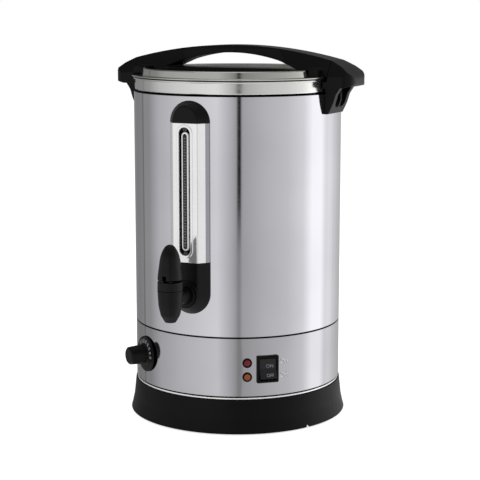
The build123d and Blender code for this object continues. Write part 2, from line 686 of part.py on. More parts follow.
# ---------------------------------------------------------------- switch and lamps
def rocker_housing():
    """Snap-in frame with a well for the rocker."""
    w, h = BEZEL_W / 2, BEZEL_H / 2
    face = BODY_R + BEZEL_T
    bezel = block(-w, w, -face, -(BODY_R - 3), SWITCH_Z - h, SWITCH_Z + h)
    bezel = fillet(bezel.edges().filter_by(Axis.Y), 1.6)
    bezel = chamfer(bezel.faces().sort_by(Axis.Y)[0].edges(), 0.7)
    bezel = outside(bezel, BODY_R + SEAT)
    body = block(-w + 1.5, w - 1.5, -(BODY_R + 0.8), -(BODY_R - SWITCH_DEPTH),
                 SWITCH_Z - h + 1.5, SWITCH_Z + h - 1.5)
    well_w = w - BEZEL_EDGE - 0.9
    well_h = ROCKER_R + RUN
    well = block(-well_w - RUN, well_w + RUN, -HIGH, -(BODY_R - PIVOT_DEPTH - 7),
                 SWITCH_Z - well_h, SWITCH_Z + well_h)
    return around(SWITCH_ANGLE, bezel + body - well)


def switch_terminals():
    """Four blade tabs on the back of the switch."""
    back = BODY_R - SWITCH_DEPTH
    tabs = []
    for x in (-BLADE_X, BLADE_X):
        for z in (SWITCH_Z - BLADE_Z, SWITCH_Z + BLADE_Z):
            tabs.append(block(x - BLADE_T / 2, x + BLADE_T / 2, -(back - SEAT), -(back - BLADE_L),
                              z - BLADE_W / 2, z + BLADE_W / 2))
    return around(SWITCH_ANGLE, gather(tabs))


def rocker():
    """Two flat faces that meet at a shallow crest; its ends are round about the pivot."""
    w = BEZEL_W / 2 - BEZEL_EDGE - 0.9
    pivot_y = -(BODY_R - PIVOT_DEPTH)
    drum = rod_x(ROCKER_R, -w, w, pivot_y, SWITCH_Z)
    lean = math.tan(math.radians(ROCKER_TILT))
    tip = BEZEL_T + PIVOT_DEPTH - 0.4
    crest = tip + lean * ROCKER_R * 0.5
    side = Plane.YZ * make_face(Polyline(
        (pivot_y - tip - lean * ROCKER_R, SWITCH_Z + ROCKER_R * 1.2),
        (pivot_y - crest + lean * ROCKER_R * 0.75, SWITCH_Z),
        (pivot_y - tip - lean * ROCKER_R, SWITCH_Z - ROCKER_R * 1.2),
        (pivot_y + 5.0, SWITCH_Z - ROCKER_R * 1.2),
        (pivot_y + 5.0, SWITCH_Z + ROCKER_R * 1.2), close=True))
    cut = extrude(side, amount=w, both=True)
    body = drum & cut
    resting = Pos(0, pivot_y, SWITCH_Z) * Rot(-ROCKER_TILT, 0, 0) * Pos(0, -pivot_y, -SWITCH_Z)
    return around(SWITCH_ANGLE, resting * body)


def lamp_housing(z):
    """Round bezel with a turned tube behind it."""
    face = BODY_R + LAMP_BEZEL_T
    lamp = lathe_front([
        (LAMP_LENS_R + SEAT, BODY_R - 4), (LAMP_BODY_R, BODY_R - 4), (LAMP_BODY_R, BODY_R - 1),
        (LAMP_BEZEL_R, BODY_R - 1), (LAMP_BEZEL_R, face, 0.6), (LAMP_LENS_R + SEAT, face)], z)
    lamp = outside(lamp, BODY_R + SEAT)
    sleeve = rod_y(LAMP_BODY_R, -(BODY_R + SEAT + 0.2), -(BODY_R - LAMP_DEPTH), z=z)
    pocket = rod_y(LAMP_LENS_R + SEAT, -HIGH, -(BODY_R - LAMP_DEPTH + 2), z=z)
    return around(LAMP_ANGLE, lamp + sleeve - pocket)


def lamp_lens(z):
    """Domed plug of coloured plastic."""
    face = BODY_R + LAMP_BEZEL_T
    return around(LAMP_ANGLE, lathe_front([
        (0, BODY_R - LAMP_DEPTH + 3), (LAMP_LENS_R, BODY_R - LAMP_DEPTH + 3),
        (LAMP_LENS_R, face + 0.2, 0.1), (LAMP_LENS_R * 0.72, face + 1.1, 1.4), (0, face + 1.4)], z))


# ---------------------------------------------------------------- back of the band
def power_inlet():
    """Appliance inlet: screwed flange, socket well and rear block."""
    w, h = INLET_W / 2, INLET_H / 2
    face = BODY_R + INLET_FLANGE_T
    flange = block(-w, w, -face, -(BODY_R - 2), INLET_Z - h, INLET_Z + h)
    flange = fillet(flange.edges().filter_by(Axis.Y), 5)
    flange = outside(flange, BODY_R + SEAT)
    rear = block(-w + 1.2, w - 1.2, -(BODY_R + 1.0), -(BODY_R - INLET_DEPTH),
                 INLET_Z - INLET_BLOCK_H / 2, INLET_Z + INLET_BLOCK_H / 2)
    well = block(-SOCKET_W / 2, SOCKET_W / 2, -HIGH, -(face - SOCKET_DEPTH),
                 INLET_Z - SOCKET_H / 2, INLET_Z + SOCKET_H / 2)
    well = chamfer(well.edges().filter_by(Axis.Y).group_by(Axis.Z)[-1], 4)
    inlet = flange + rear - well
    for side in (-1, 1):
        z = INLET_Z + side * INLET_SCREW_PITCH / 2
        inlet -= rod_y(INLET_SCREW_R + SEAT, -HIGH, 0, z=z)
    return around(180, inlet)


def inlet_pins():
    """Earth pin and two line pins."""
    floor = BODY_R + INLET_FLANGE_T - SOCKET_DEPTH
    pins = []
    half_w, half_h = INLET_PIN_W / 2, INLET_PIN_H / 2
    for x, dz in ((0, INLET_PIN_Z), (-INLET_PIN_X, -INLET_PIN_Z), (INLET_PIN_X, -INLET_PIN_Z)):
        z = INLET_Z + dz
        pins.append(block(x - half_w, x + half_w, -(floor + INLET_PIN_L), -(floor + PIN_FIT),
                          z - half_h, z + half_h))
    return around(180, gather(pins))


def inlet_screws():
    face = BODY_R + INLET_FLANGE_T
    r, top = INLET_SCREW_HEAD_R, face + INLET_SCREW_HEAD_H
    screws = []
    for side in (-1, 1):
        z = INLET_Z + side * INLET_SCREW_PITCH / 2
        head = lathe_front([
            (0, face + SEAT), (r, face + SEAT), (r, face + 0.6, 0.3), (r * 0.6, top, 0.8),
            (0, top)], z)
        screws.append(head + rod_y(INLET_SCREW_R, -(face + 0.5), -(BODY_R - 8), z=z))
    return around(180, gather(screws))


def reset_cutout():
    """Boil-dry cut-out behind the band, with a threaded neck and a ring nut outside."""
    ring = lathe_front([
        (RESET_BUTTON_R + RUN, BODY_R - 4), (RESET_BODY_R, BODY_R - 4),
        (RESET_BODY_R, BODY_R + RESET_RING_T, 0.6),
        (RESET_BUTTON_R + RUN, BODY_R + RESET_RING_T)], RESET_Z)
    ring = outside(ring, BODY_R + SEAT)
    neck = rod_y(RESET_NECK_R, -(BODY_R + 0.5), -(BODY_R - 6), z=RESET_Z)
    half_w, half_h = RESET_CASE_W / 2, RESET_CASE_H / 2
    case = block(-half_w, half_w, -(BODY_R - 4), -(BODY_R - 4 - RESET_CASE_D),
                 RESET_Z - half_h, RESET_Z + half_h)
    well = rod_y(RESET_BUTTON_R + RUN, -HIGH, -(BODY_R - 10), z=RESET_Z)
    return around(RESET_ANGLE, ring + neck + case - well)


def reset_button():
    tip = BODY_R + RESET_RING_T + RESET_TRAVEL + 2 * RUN
    return around(RESET_ANGLE, lathe_front([
        (0, BODY_R - 8), (RESET_BUTTON_R, BODY_R - 8), (RESET_BUTTON_R, tip, 1.0), (0, tip)],
        RESET_Z))


def block_places():
    """Two rows of four wells."""
    for column_x in (-1.5, -0.5, 0.5, 1.5):
        for row_y in (-0.5, 0.5):
            yield column_x * BLOCK_PITCH_X, BLOCK_Y + row_y * BLOCK_PITCH_Y


def terminal_block():
    """Ceramic connector on the bottom plate."""
    z = PLATE_TOP_Z
    body = block(-BLOCK_L / 2, BLOCK_L / 2, BLOCK_Y - BLOCK_W / 2, BLOCK_Y + BLOCK_W / 2,
                 z, z + BLOCK_H)
    for x, y in block_places():
        body -= disc(BLOCK_WELL_R, z + BLOCK_WELL_Z, z + BLOCK_H + 1, x, y)
    return body


def terminal_screws():
    z = PLATE_TOP_Z + BLOCK_WELL_Z + SEAT
    return gather(disc(BLOCK_SCREW_R, z, z + BLOCK_SCREW_H, x, y) for x, y in block_places())


# ---------------------------------------------------------------- gauge column
def half_ellipse(distance, half_width, height):
    """Upright face at a distance in front of the Z axis, flat side down."""
    arc = EllipticalCenterArc((0, 0), half_width, height, start_angle=0, arc_size=180)
    return Plane.XZ.offset(distance) * make_face(arc + Line((-half_width, 0), (half_width, 0)))


def column_top(inset, face, shoulder, back):
    """Round top end of the column, with its front edges softened."""
    half, wide, lip = COL_FACE_HALF - inset * 0.7, COL_SHOULDER_HALF - inset, COL_HALF - inset
    top = loft([
        half_ellipse(back, lip, lip), half_ellipse(BODY_R, lip, lip),
        half_ellipse(shoulder, wide, CAP_SHOULDER_H - inset),
        half_ellipse(face, half, CAP_FACE_H - inset)], ruled=True)
    front_rim = top.faces().sort_by(Axis.Y)[0].edges().sort_by(Axis.Z)[-1]
    top = fillet(front_rim, COL_EDGE_R)
    return Pos(0, 0, COVER_Z1) * top


def column(inset):
    """Pillow-shaped column with round ends, or the hollow inside it."""
    back = BODY_R - 12
    face = BODY_R + COL_PROUD - inset
    shoulder = BODY_R + COL_SHOULDER - inset * 0.5
    half, wide, lip = COL_FACE_HALF - inset * 0.7, COL_SHOULDER_HALF - inset, COL_HALF - inset
    points = [(face, half, COL_EDGE_R), (shoulder, wide), (BODY_R, lip), (back, lip)]
    low = lathe_front([(0, back)] + [(p[1], p[0], *p[2:]) for p in reversed(points)] + [(0, face)], TAP_Z)
    radii = [COL_EDGE_R, 0, 0, 0]
    section = Plane.XY * make_face(FilletPolyline(
        *[(p[1], -p[0]) for p in points], *[(-p[1], -p[0]) for p in reversed(points)],
        radius=radii + radii[::-1], close=True))
    middle = Pos(0, 0, TAP_Z) * extrude(section, amount=COVER_Z1 - TAP_Z)
    low = low & block(-HIGH, HIGH, -HIGH, 0, -HIGH, TAP_Z)
    return low + middle + column_top(inset, face, shoulder, back)


def column_shell():
    return outside(column(0) - column(COL_WALL), BODY_R + SEAT)


def tap_housing(shell):
    """Black lower end of the column, round the tap's shank."""
    lower = shell & block(-HIGH, HIGH, -HIGH, 0, 0, COVER_Z0 - SEAT / 2)
    return lower - rod_y(SHANK_R + SEAT, -HIGH, 0, z=TAP_Z)


def gauge_cover(shell):
    """Bright cover with a raised lip round its window."""
    cover = shell & block(-HIGH, HIGH, -HIGH, 0, COVER_Z0 + SEAT / 2, COVER_Z1 - SEAT / 2)
    margin = (LIP_W - WINDOW_W) / 2
    lip = stadium(LIP_W, WINDOW_Z0 - margin, WINDOW_Z1 + margin, FRONT_Y - LIP_PROUD, FRONT_Y + 0.2)
    lip = fillet(lip.faces().sort_by(Axis.Y)[0].edges(), 0.6)
    return cover + lip - stadium(WINDOW_W, WINDOW_Z0, WINDOW_Z1, -HIGH, FRONT_Y + COL_WALL + 2)


def gauge_cap(shell):
    return shell & block(-HIGH, HIGH, -HIGH, 0, COVER_Z1 + SEAT / 2, HIGH)


def gauge_panel():
    """Black insert behind the window: a plate with a slot, standing on two side walls."""
    z0, z1 = WINDOW_Z0 - PANEL_MARGIN, WINDOW_Z1 + PANEL_MARGIN
    half = PANEL_W / 2
    panel = block(-half, half, PANEL_Y, PANEL_Y + PANEL_T, z0, z1)
    for x in (-half + PANEL_T, half - PANEL_T):
        panel += block(x - PANEL_T, x + PANEL_T, PANEL_Y + PANEL_T, -(BODY_R - 3), z0, z1)
    panel += stadium(WINDOW_W - 2 * SEAT, WINDOW_Z0 + SEAT, WINDOW_Z1 - SEAT,
                     PANEL_Y - PANEL_RAISE, PANEL_Y + 0.2)
    panel -= stadium(SLOT_W, LENS_Z0 + 2, LENS_Z1 - 2, -HIGH, 0)
    for z in (WINDOW_Z0 + GAUGE_SCREW_IN, WINDOW_Z1 - GAUGE_SCREW_IN):
        panel -= rod_y(GAUGE_SCREW_R + SEAT, -HIGH, 0, z=z)
    return outside(panel, BODY_R + SEAT)


def gauge_lens():
    """Clear domed strip over the slot."""
    y = PANEL_Y - PANEL_RAISE - SEAT
    lens = stadium(LENS_W, LENS_Z0, LENS_Z1, y - LENS_PROUD, y)
    return fillet(lens.faces().sort_by(Axis.Y)[0].edges(), 1.3)


def gauge_screws():
    """One screw above and one below the lens."""
    y = PANEL_Y - PANEL_RAISE
    screws = []
    for z in (WINDOW_Z0 + GAUGE_SCREW_IN, WINDOW_Z1 - GAUGE_SCREW_IN):
        head = rod_y(GAUGE_SCREW_HEAD_R, y - SEAT - 0.9, y - SEAT, z=z)
        head -= block(-0.35, 0.35, y - 2, y - SEAT - 0.5, z - 3, z + 3)
        screws.append(head + rod_y(GAUGE_SCREW_R, y - 0.2, PANEL_Y + PANEL_T, z=z))
    return gather(screws)


def sight_tube():
    return tube(TUBE_R, TUBE_R - TUBE_WALL, UNION_LOW_Z, UNION_HIGH_Z, 0, TUBE_Y)


def gauge_seals():
    """Silicone elbows that join the tube's ends to the tank unions."""
    seals = []
    for z, way in ((UNION_LOW_Z, -1), (UNION_HIGH_Z, 1)):
        z0, z1 = sorted((z - way * SEAL_H / 2, z + way * SEAL_H / 2))
        seal = disc(SEAL_R, z0, z1, 0, TUBE_Y)
        seal -= disc(TUBE_R + SEAT, *sorted((z - way * SEAL_H, z)), 0, TUBE_Y)
        seal -= disc(TUBE_R - TUBE_WALL, *sorted((z - way, z + way * UNION_BORE_R)), 0, TUBE_Y)
        seal = outside(seal, BODY_R + SEAT + 0.6)
        bore = rod_y(UNION_BORE_R, -(BODY_R + TUBE_STANDOFF), 0, z=z + way * 2)
        seals.append(seal - bore)
    return gather(seals)


def gauge_unions():
    """Flanged nipples that carry water from the tank to the seals."""
    unions = []
    for z, way in ((UNION_LOW_Z, -1), (UNION_HIGH_Z, 1)):
        nipple = rod_y(UNION_R, -(BODY_R + SEAT + 0.5), -(TANK_IN_R - 4), z=z)
        head = inside(rod_y(UNION_HEAD_R, -TANK_R, -(TANK_IN_R - 2.5), z=z), TANK_IN_R - SEAT)
        unions.append(nipple + head - rod_y(UNION_BORE_R, -HIGH, 0, z=z))
    return gather(unions)


def level_scale():
    """Pale strip behind the tube, lying on the shell."""
    half = SCALE_W / 2
    strip = block(-half, half, -(BODY_R + SEAT + SCALE_T), -(BODY_R - 1), LENS_Z0, LENS_Z1)
    return outside(strip, BODY_R + SEAT)


# ---------------------------------------------------------------- tap
def tap_body():
    """Threaded shank and a bullet-shaped barrel with a valve chamber and nozzle."""
    z0, z1 = NOZZLE_Z, BONNET_Z
    h = z1 - z0
    barrel = Pos(0, BARREL_Y, 0) * lathe([
        (0, z0), (NOZZLE_R, z0, 0.8), (BARREL_R * 0.76, z0 + 0.22 * h, 9),
        (BARREL_R * 0.93, z0 + 0.52 * h, 30), (BARREL_R, z1), (0, z1)])
    shank = rod_y(SHANK_R, BARREL_Y, -(TANK_IN_R - NUT_T - WASHER_T - 2.0), z=TAP_Z)
    body = barrel + shank
    body -= disc(CHAMBER_R, VALVE_SEAT_Z, z1 + 1, 0, BARREL_Y)
    body -= disc(NOZZLE_BORE_R, z0 - 1, VALVE_SEAT_Z + 1, 0, BARREL_Y)
    return body - rod_y(SHANK_BORE_R, BARREL_Y + 4, 0, z=TAP_Z)


def tap_spacer():
    """Sleeve on the shank between the tank washer and the column's front wall."""
    inner = SHANK_R + SEAT
    back, front = TANK_R + WASHER_T + 2 * SEAT, BODY_R + COL_PROUD - COL_WALL - SEAT
    return lathe_front([
        (inner, back), (COLLAR_STEP_R, back), (COLLAR_STEP_R, front), (inner, front)], TAP_Z)


def tap_collar():
    """Stepped ring seen round the shank, in front of the column."""
    inner = SHANK_R + SEAT
    face = BODY_R + COL_PROUD
    return lathe_front([
        (inner, face + SEAT), (COLLAR_RING_R, face + SEAT), (COLLAR_RING_R, face + COLLAR_STEP_T, 0.8),
        (COLLAR_STEP_R, face + COLLAR_STEP_T), (COLLAR_STEP_R, face + 2 * COLLAR_STEP_T, 0.7),
        (inner, face + 2 * COLLAR_STEP_T)], TAP_Z)


def tap_washers():
    """Silicone washers on both sides of the tank wall."""
    inner = inside(rod_y(WASHER_R, -TANK_R, -(TANK_IN_R - WASHER_T), z=TAP_Z), TANK_IN_R - SEAT)
    outer = outside(
        rod_y(WASHER_R - 1.5, -(TANK_R + WASHER_T + SEAT), -(TANK_R - 2), z=TAP_Z), TANK_R + SEAT)
    bore = rod_y(SHANK_R + SEAT, -HIGH, 0, z=TAP_Z)
    return gather([inner - bore, outer - bore])


def tap_nut():
    """Hexagon nut inside the tank."""
    y = TANK_IN_R - WASHER_T - SEAT
    nut = Pos(0, -y, TAP_Z) * Rot(-90, 0, 0) * extrude(RegularPolygon(NUT_R, 6), amount=NUT_T)
    return nut - rod_y(SHANK_R + SEAT, -HIGH, 0, z=TAP_Z)


def tap_bonnet():
    """Ribbed screw cap of the valve, with the lever's lug at its front edge."""
    z0 = BONNET_Z + SEAT
    cap = Pos(0, BARREL_Y, 0) * lathe([
        (0, z0), (BARREL_R - BONNET_LINE, z0), (BARREL_R - BONNET_LINE, z0 + BONNET_LINE),
        (BARREL_R, z0 + BONNET_LINE, 0.3), (BARREL_R - 0.2, BONNET_TOP_Z, 0.8), (0, BONNET_TOP_Z)])
    for i in range(BONNET_RIBS):
        groove = disc(0.5, z0 + 2.0, BONNET_TOP_Z - 1.2, BARREL_R + 0.15, 0)
        cap -= Pos(0, BARREL_Y, 0) * Rot(0, 0, 360.0 * i / BONNET_RIBS) * groove
    lug = rod_x(LUG_R, -LUG_W / 2, LUG_W / 2, PIVOT_Y, PIVOT_Z)
    lug += block(-LUG_W / 2, LUG_W / 2, PIVOT_Y - LUG_R, PIVOT_Y + LUG_R, BONNET_TOP_Z - 1, PIVOT_Z)
    cap += lug
    cap -= rod_x(LEVER_PIN_R + PIN_FIT, -HIGH, HIGH, PIVOT_Y, PIVOT_Z)
    return cap - disc(STEM_R + PIN_FIT, 0, HIGH, 0, BARREL_Y)


def valve_stem():
    """Rod from the plug up through the bonnet to its head inside the lever."""
    head_z = BONNET_TOP_Z + STEM_HEAD_UP
    low = VALVE_SEAT_Z + PLUG_H * 0.6
    stem = disc(STEM_R, low, head_z + STEM_HEAD_H, 0, BARREL_Y)
    return stem + disc(STEM_HEAD_R, head_z, head_z + STEM_HEAD_H, 0, BARREL_Y)


def valve_plug():
    """Silicone cup that closes the nozzle."""
    z0 = VALVE_SEAT_Z + RUN
    plug = disc(PLUG_R, z0, z0 + PLUG_H, 0, BARREL_Y)
    plug = chamfer(plug.edges().group_by(Axis.Z)[0], 1.5)
    return plug - disc(STEM_R + PIN_FIT, VALVE_SEAT_Z + PLUG_H * 0.6, HIGH, 0, BARREL_Y)


def valve_spring():
    """Compression spring between plug and bonnet."""
    z0 = VALVE_SEAT_Z + RUN + PLUG_H + SEAT + SPRING_WIRE_R
    z1 = BONNET_Z - SEAT - SPRING_WIRE_R
    path = Helix(pitch=(z1 - z0) / SPRING_TURNS, height=z1 - z0, radius=SPRING_R)
    start = Plane(origin=path @ 0, z_dir=path % 0)
    coil = sweep(start * Circle(SPRING_WIRE_R), path=path, is_frenet=True)
    return Pos(0, BARREL_Y, z0) * coil


def tap_lever():
    """Bullet-shaped lever hinged on the bonnet's front lug, hollow round the stem's head."""
    z0, h, r = LEVER_Z, LEVER_H, LEVER_R
    face = Plane.XZ * make_face(
        Polyline((0, z0 + h), (0, z0), (r, z0)) +
        Spline((r, z0), (r * 0.90, z0 + 0.35 * h), (r * 0.735, z0 + 0.69 * h), (r * 0.50, z0 + 0.88 * h),
               (0, z0 + h), tangents=[(0, 1), (-1, 0)]))
    lever = Pos(0, BARREL_Y, 0) * revolve(face, axis=Axis.Z)
    lever -= disc(LEVER_CAVITY_R, z0 - 1, z0 + LEVER_CAVITY_H, 0, BARREL_Y + 2.0)
    slot = LUG_W / 2 + RUN
    lever -= block(-slot, slot, -HIGH, BARREL_Y - 2, z0 - 1, PIVOT_Z + LUG_R + RUN)
    reach = PIVOT_Z - BONNET_TOP_Z - RUN
    corner = block(-HIGH, HIGH, -HIGH, PIVOT_Y, z0 - 1, PIVOT_Z)
    lever -= corner - rod_x(reach, -HIGH, HIGH, PIVOT_Y, PIVOT_Z)
    return lever - rod_x(LEVER_PIN_R + PIN_FIT, -HIGH, lever_pin_reach() + SEAT, PIVOT_Y, PIVOT_Z)


def lever_pin_reach():
    return math.sqrt(LEVER_R ** 2 - PIVOT_AHEAD ** 2) - 2.0


def lever_pin():
    """Pressed in from the left; its hole stops inside the lever's right side."""
    reach = lever_pin_reach()
    return rod_x(LEVER_PIN_R, -reach, reach, PIVOT_Y, PIVOT_Z)


# ---------------------------------------------------------------- lid
def lid_plate():
    """Stainless lid: rolled flange, raised ring and recessed middle."""
    z, t = LID_Z, SHEET
    edge_r = LID_R - LID_EDGE_R
    edge = revolve(Plane.XZ * Pos(edge_r, z + t / 2) * Circle(LID_EDGE_R), axis=Axis.Z)
    plate = lathe([
        (0, RECESS_Z - t), (RING_IN_R + t, RECESS_Z - t, 0.3), (RING_IN_R + t, RING_TOP_Z - t, 0.5),
        (RING_TOP_R - t, RING_TOP_Z - t, 0.5), (RING_FOOT_R - t, z), (edge_r, z), (edge_r, z + t),
        (RING_FOOT_R, z + t, 0.5), (RING_TOP_R, RING_TOP_Z, 1.3), (RING_IN_R, RING_TOP_Z, 1.2),
        (RING_IN_R, RECESS_Z, 0.6), (0, RECESS_Z)])
    plate += edge
    for x in (-LID_SCREW_X, LID_SCREW_X):
        plate -= disc(LID_SCREW_R + SEAT, 0, HIGH, x, 0)
    return plate


def lid_inner_pan():
    """Inner skin that hangs into the tank's mouth."""
    z1 = LID_Z - SEAT
    z0 = z1 - PAN_DEPTH
    return lathe([
        (0, z0), (PAN_R, z0, 2.0), (PAN_R, z1 - SHEET), (PAN_R + PAN_LIP, z1 - SHEET),
        (PAN_R + PAN_LIP, z1),
        (PAN_R - SHEET, z1), (PAN_R - SHEET, z0 + SHEET, 1.2), (0, z0 + SHEET)])


def lid_gasket():
    """Flat silicone ring on the rolled rim."""
    return tube(LID_R - 2 * LID_EDGE_R - SEAT, PAN_R + PAN_LIP + SEAT, GASKET_Z, GASKET_Z + GASKET_T)


def lid_screws():
    screws = []
    low = RECESS_Z - SHEET - SEAT - LID_SCREW_HEAD_H
    for x in (-LID_SCREW_X, LID_SCREW_X):
        head = disc(LID_SCREW_HEAD_R, low, low + LID_SCREW_HEAD_H, x, 0)
        screws.append(head + disc(LID_SCREW_R, low, RECESS_Z + LID_SCREW_UP, x, 0))
    return gather(screws)


# ---------------------------------------------------------------- handles
def handle_tent(inset=0.0):
    """Long prism that gives every handle its tapering cross-section, or the hollow inside it."""
    low, mid, top = HALF_LOW - inset, HALF_MID - inset, HALF_TOP - inset
    section = Plane.YZ * make_face(Polyline(
        (-low, 0), (-low, HALF_LOW_Z), (-mid, HALF_MID_Z), (-top, ARCH_TOP_Z + 5),
        (top, ARCH_TOP_Z + 5), (mid, HALF_MID_Z), (low, HALF_LOW_Z), (low, 0), close=True))
    return extrude(section, amount=HIGH, both=True)


def arch_back(x):
    """Height of the arch's back at a distance from its middle."""
    return ARCH_TOP_Z - (ARCH_R - math.sqrt(ARCH_R ** 2 - x ** 2))


def lid_handle():
    """Arch and base bar in one piece, with feet that step over the lid's ring."""
    span = SEAM_R - RUN / 2
    low = LID_Z + SHEET + SEAT
    back = ThreePointArc((-span, arch_back(span)), (0, ARCH_TOP_Z), (span, arch_back(span)))
    side = Polyline((span, arch_back(span)), (span, low), (-span, low), (-span, arch_back(span)))
    body = extrude(Plane.XZ * make_face(back + side), amount=HALF_LOW + 5, both=True)
    body = body & handle_tent()
    body = body & disc(span, 0, HIGH)
    corner = [(FLARE_X0, HALF_BAR), (FLARE_X1, HALF_LOW + 1), (span, HALF_LOW + 1)]
    quarter = corner + [(x, -y) for x, y in reversed(corner)]
    plan = quarter + [(-x, -y) for x, y in quarter]
    radii = [BAR_BEND_R, BAR_BEND_R, 0, 0, BAR_BEND_R, BAR_BEND_R] * 2
    body = body & extrude(make_face(FilletPolyline(*plan, radius=radii, close=True)), amount=HIGH)
    opening_arc = ThreePointArc(
        (-GRIP_HALF_SPAN, BAR_TOP_Z), (0, GRIP_UNDER_Z), (GRIP_HALF_SPAN, BAR_TOP_Z))
    opening = opening_arc + Polyline((GRIP_HALF_SPAN, BAR_TOP_Z), (-GRIP_HALF_SPAN, BAR_TOP_Z))
    body -= extrude(Plane.XZ * make_face(opening), amount=HIGH, both=True)
    x0 = math.sqrt(RING_IN_R ** 2 - STEP_HALF ** 2) - STEP_IN
    x1, top = LID_R - STEP_EDGE, RING_TOP_Z + STEP_OVER
    step = outline([(x0, low), (x0, top), (x1, top, STEP_R), (x1, low)])
    step = extrude(step, amount=STEP_HALF, both=True)
    body = body + step + Rot(0, 0, 180) * step
    groove = lathe([
        (RING_IN_R - RUN, low - 5), (RING_FOOT_R + RUN, low - 5),
        (RING_FOOT_R + RUN, RING_TOP_Z + SEAT), (RING_IN_R - RUN, RING_TOP_Z + SEAT)])
    body -= groove
    body -= disc(RING_IN_R - RUN / 2, low - 5, RECESS_Z + SEAT)
    edge_top = LID_Z + SHEET / 2 + LID_EDGE_R + SEAT
    body -= tube(HIGH, LID_R - 2 * LID_EDGE_R - RUN, 0, edge_top)
    for x in (-LID_SCREW_X, LID_SCREW_X):
        body -= disc(LID_SCREW_R + PIN_FIT, 0, RECESS_Z + LID_SCREW_UP + 0.5, x, 0)
    return body


def hollow_bracket(bracket):
    """Moulding with side walls, a floor against the shell and a rib between them."""
    half = BRACKET_HALF - POCKET_WALL
    top = EAR_LOW_Z + 3
    pocket = block(BODY_R + POCKET_FLOOR, HIGH, -half, half, BRACKET_Z0 + POCKET_UP, top)
    pocket = fillet(pocket.edges().filter_by(Axis.X).group_by(Axis.Z)[0], POCKET_CORNER_R)
    rib = block(BODY_R, BODY_R + RIB_REACH, -RIB_HALF, RIB_HALF, BRACKET_Z0 + POCKET_UP, top)
    return bracket - (pocket - rib)


def side_handle(side):
    """Ear that carries on the arch's line, hollow below, with a bracket on the shell."""
    start = BODY_R - 5
    end = EAR_END_X
    top_z = arch_back(SEAM_R)
    low = EAR_LOW_Z + 2
    profile = Plane.XZ * make_face(FilletPolyline(
        (start, top_z + 3), (SEAM_R, top_z), *[(end - x, top_z - z) for x, z, _ in EAR_FALL],
        (end, EAR_END_Z0), (end - EAR_LIP_IN, EAR_LOW_Z + 0.6), (start, EAR_LOW_Z),
        radius=[0, 4, *[r for _, _, r in EAR_FALL], 4, 0, 0], close=True))
    ear = extrude(profile, amount=HALF_LOW + 5, both=True) & handle_tent()
    plan = Plane.XY * make_face(FilletPolyline(
        (start, -HALF_LOW - 1), (end, -HALF_LOW - 1), (end, HALF_LOW + 1), (start, HALF_LOW + 1),
        radius=[0, EAR_CORNER_R, EAR_CORNER_R, 0], close=True))
    ear = ear & extrude(plan, amount=HIGH)
    hollow_profile = Plane.XZ * make_face(Polyline(
        (EAR_HOLLOW_X, 0), (end - EAR_WALL, 0), (end - EAR_WALL, top_z - 20),
        (end - 13, top_z - 11), (EAR_HOLLOW_X, top_z - 7), close=True))
    hollow = extrude(hollow_profile, amount=BRACKET_HALF, both=True) & handle_tent(EAR_WALL)
    hollow = hollow & extrude(offset(plan, amount=-EAR_WALL), amount=HIGH)
    bracket = extrude(Plane.XZ * make_face(FilletPolyline(
        (start, low), (end - EAR_LIP_IN, low), *[(BODY_R + x, BRACKET_Z0 + z) for x, z, _ in BRACKET_CURVE],
        (BODY_R + BRACKET_TOE, BRACKET_Z0), (start, BRACKET_Z0),
        radius=[0, 0, *[r for _, _, r in BRACKET_CURVE], 1, 0], close=True)),
        amount=BRACKET_HALF, both=True)
    handle = outside(ear - hollow + hollow_bracket(bracket), BODY_R + SEAT)
    handle -= disc(SEAM_R + RUN / 2, RIM_Z - RIM_BEAD_R - RUN, HIGH)
    for y in (-HANDLE_SCREW_Y, HANDLE_SCREW_Y):
        handle -= rod_x(HANDLE_SCREW_R + PIN_FIT, 0, BODY_R + HANDLE_SCREW_IN + 0.5, y, HANDLE_SCREW_Z)
    return handle if side > 0 else Rot(0, 0, 180) * handle


def handle_screws():
    """Two screws for each side handle, put in from inside the shell."""
    screws = []
    seat = math.sqrt((BODY_R - SHEET) ** 2 - HANDLE_SCREW_Y ** 2) - 0.9
    for side in (-1, 1):
        for y in (-HANDLE_SCREW_Y, HANDLE_SCREW_Y):
            x0, x1 = side * (seat - HANDLE_SCREW_HEAD_H), side * seat
            tip = side * (BODY_R + HANDLE_SCREW_IN)
            screws.append(rod_x(HANDLE_SCREW_HEAD_R, x0, x1, y, HANDLE_SCREW_Z)
                          + rod_x(HANDLE_SCREW_R, x1, tip, y, HANDLE_SCREW_Z))
    return gather(screws)


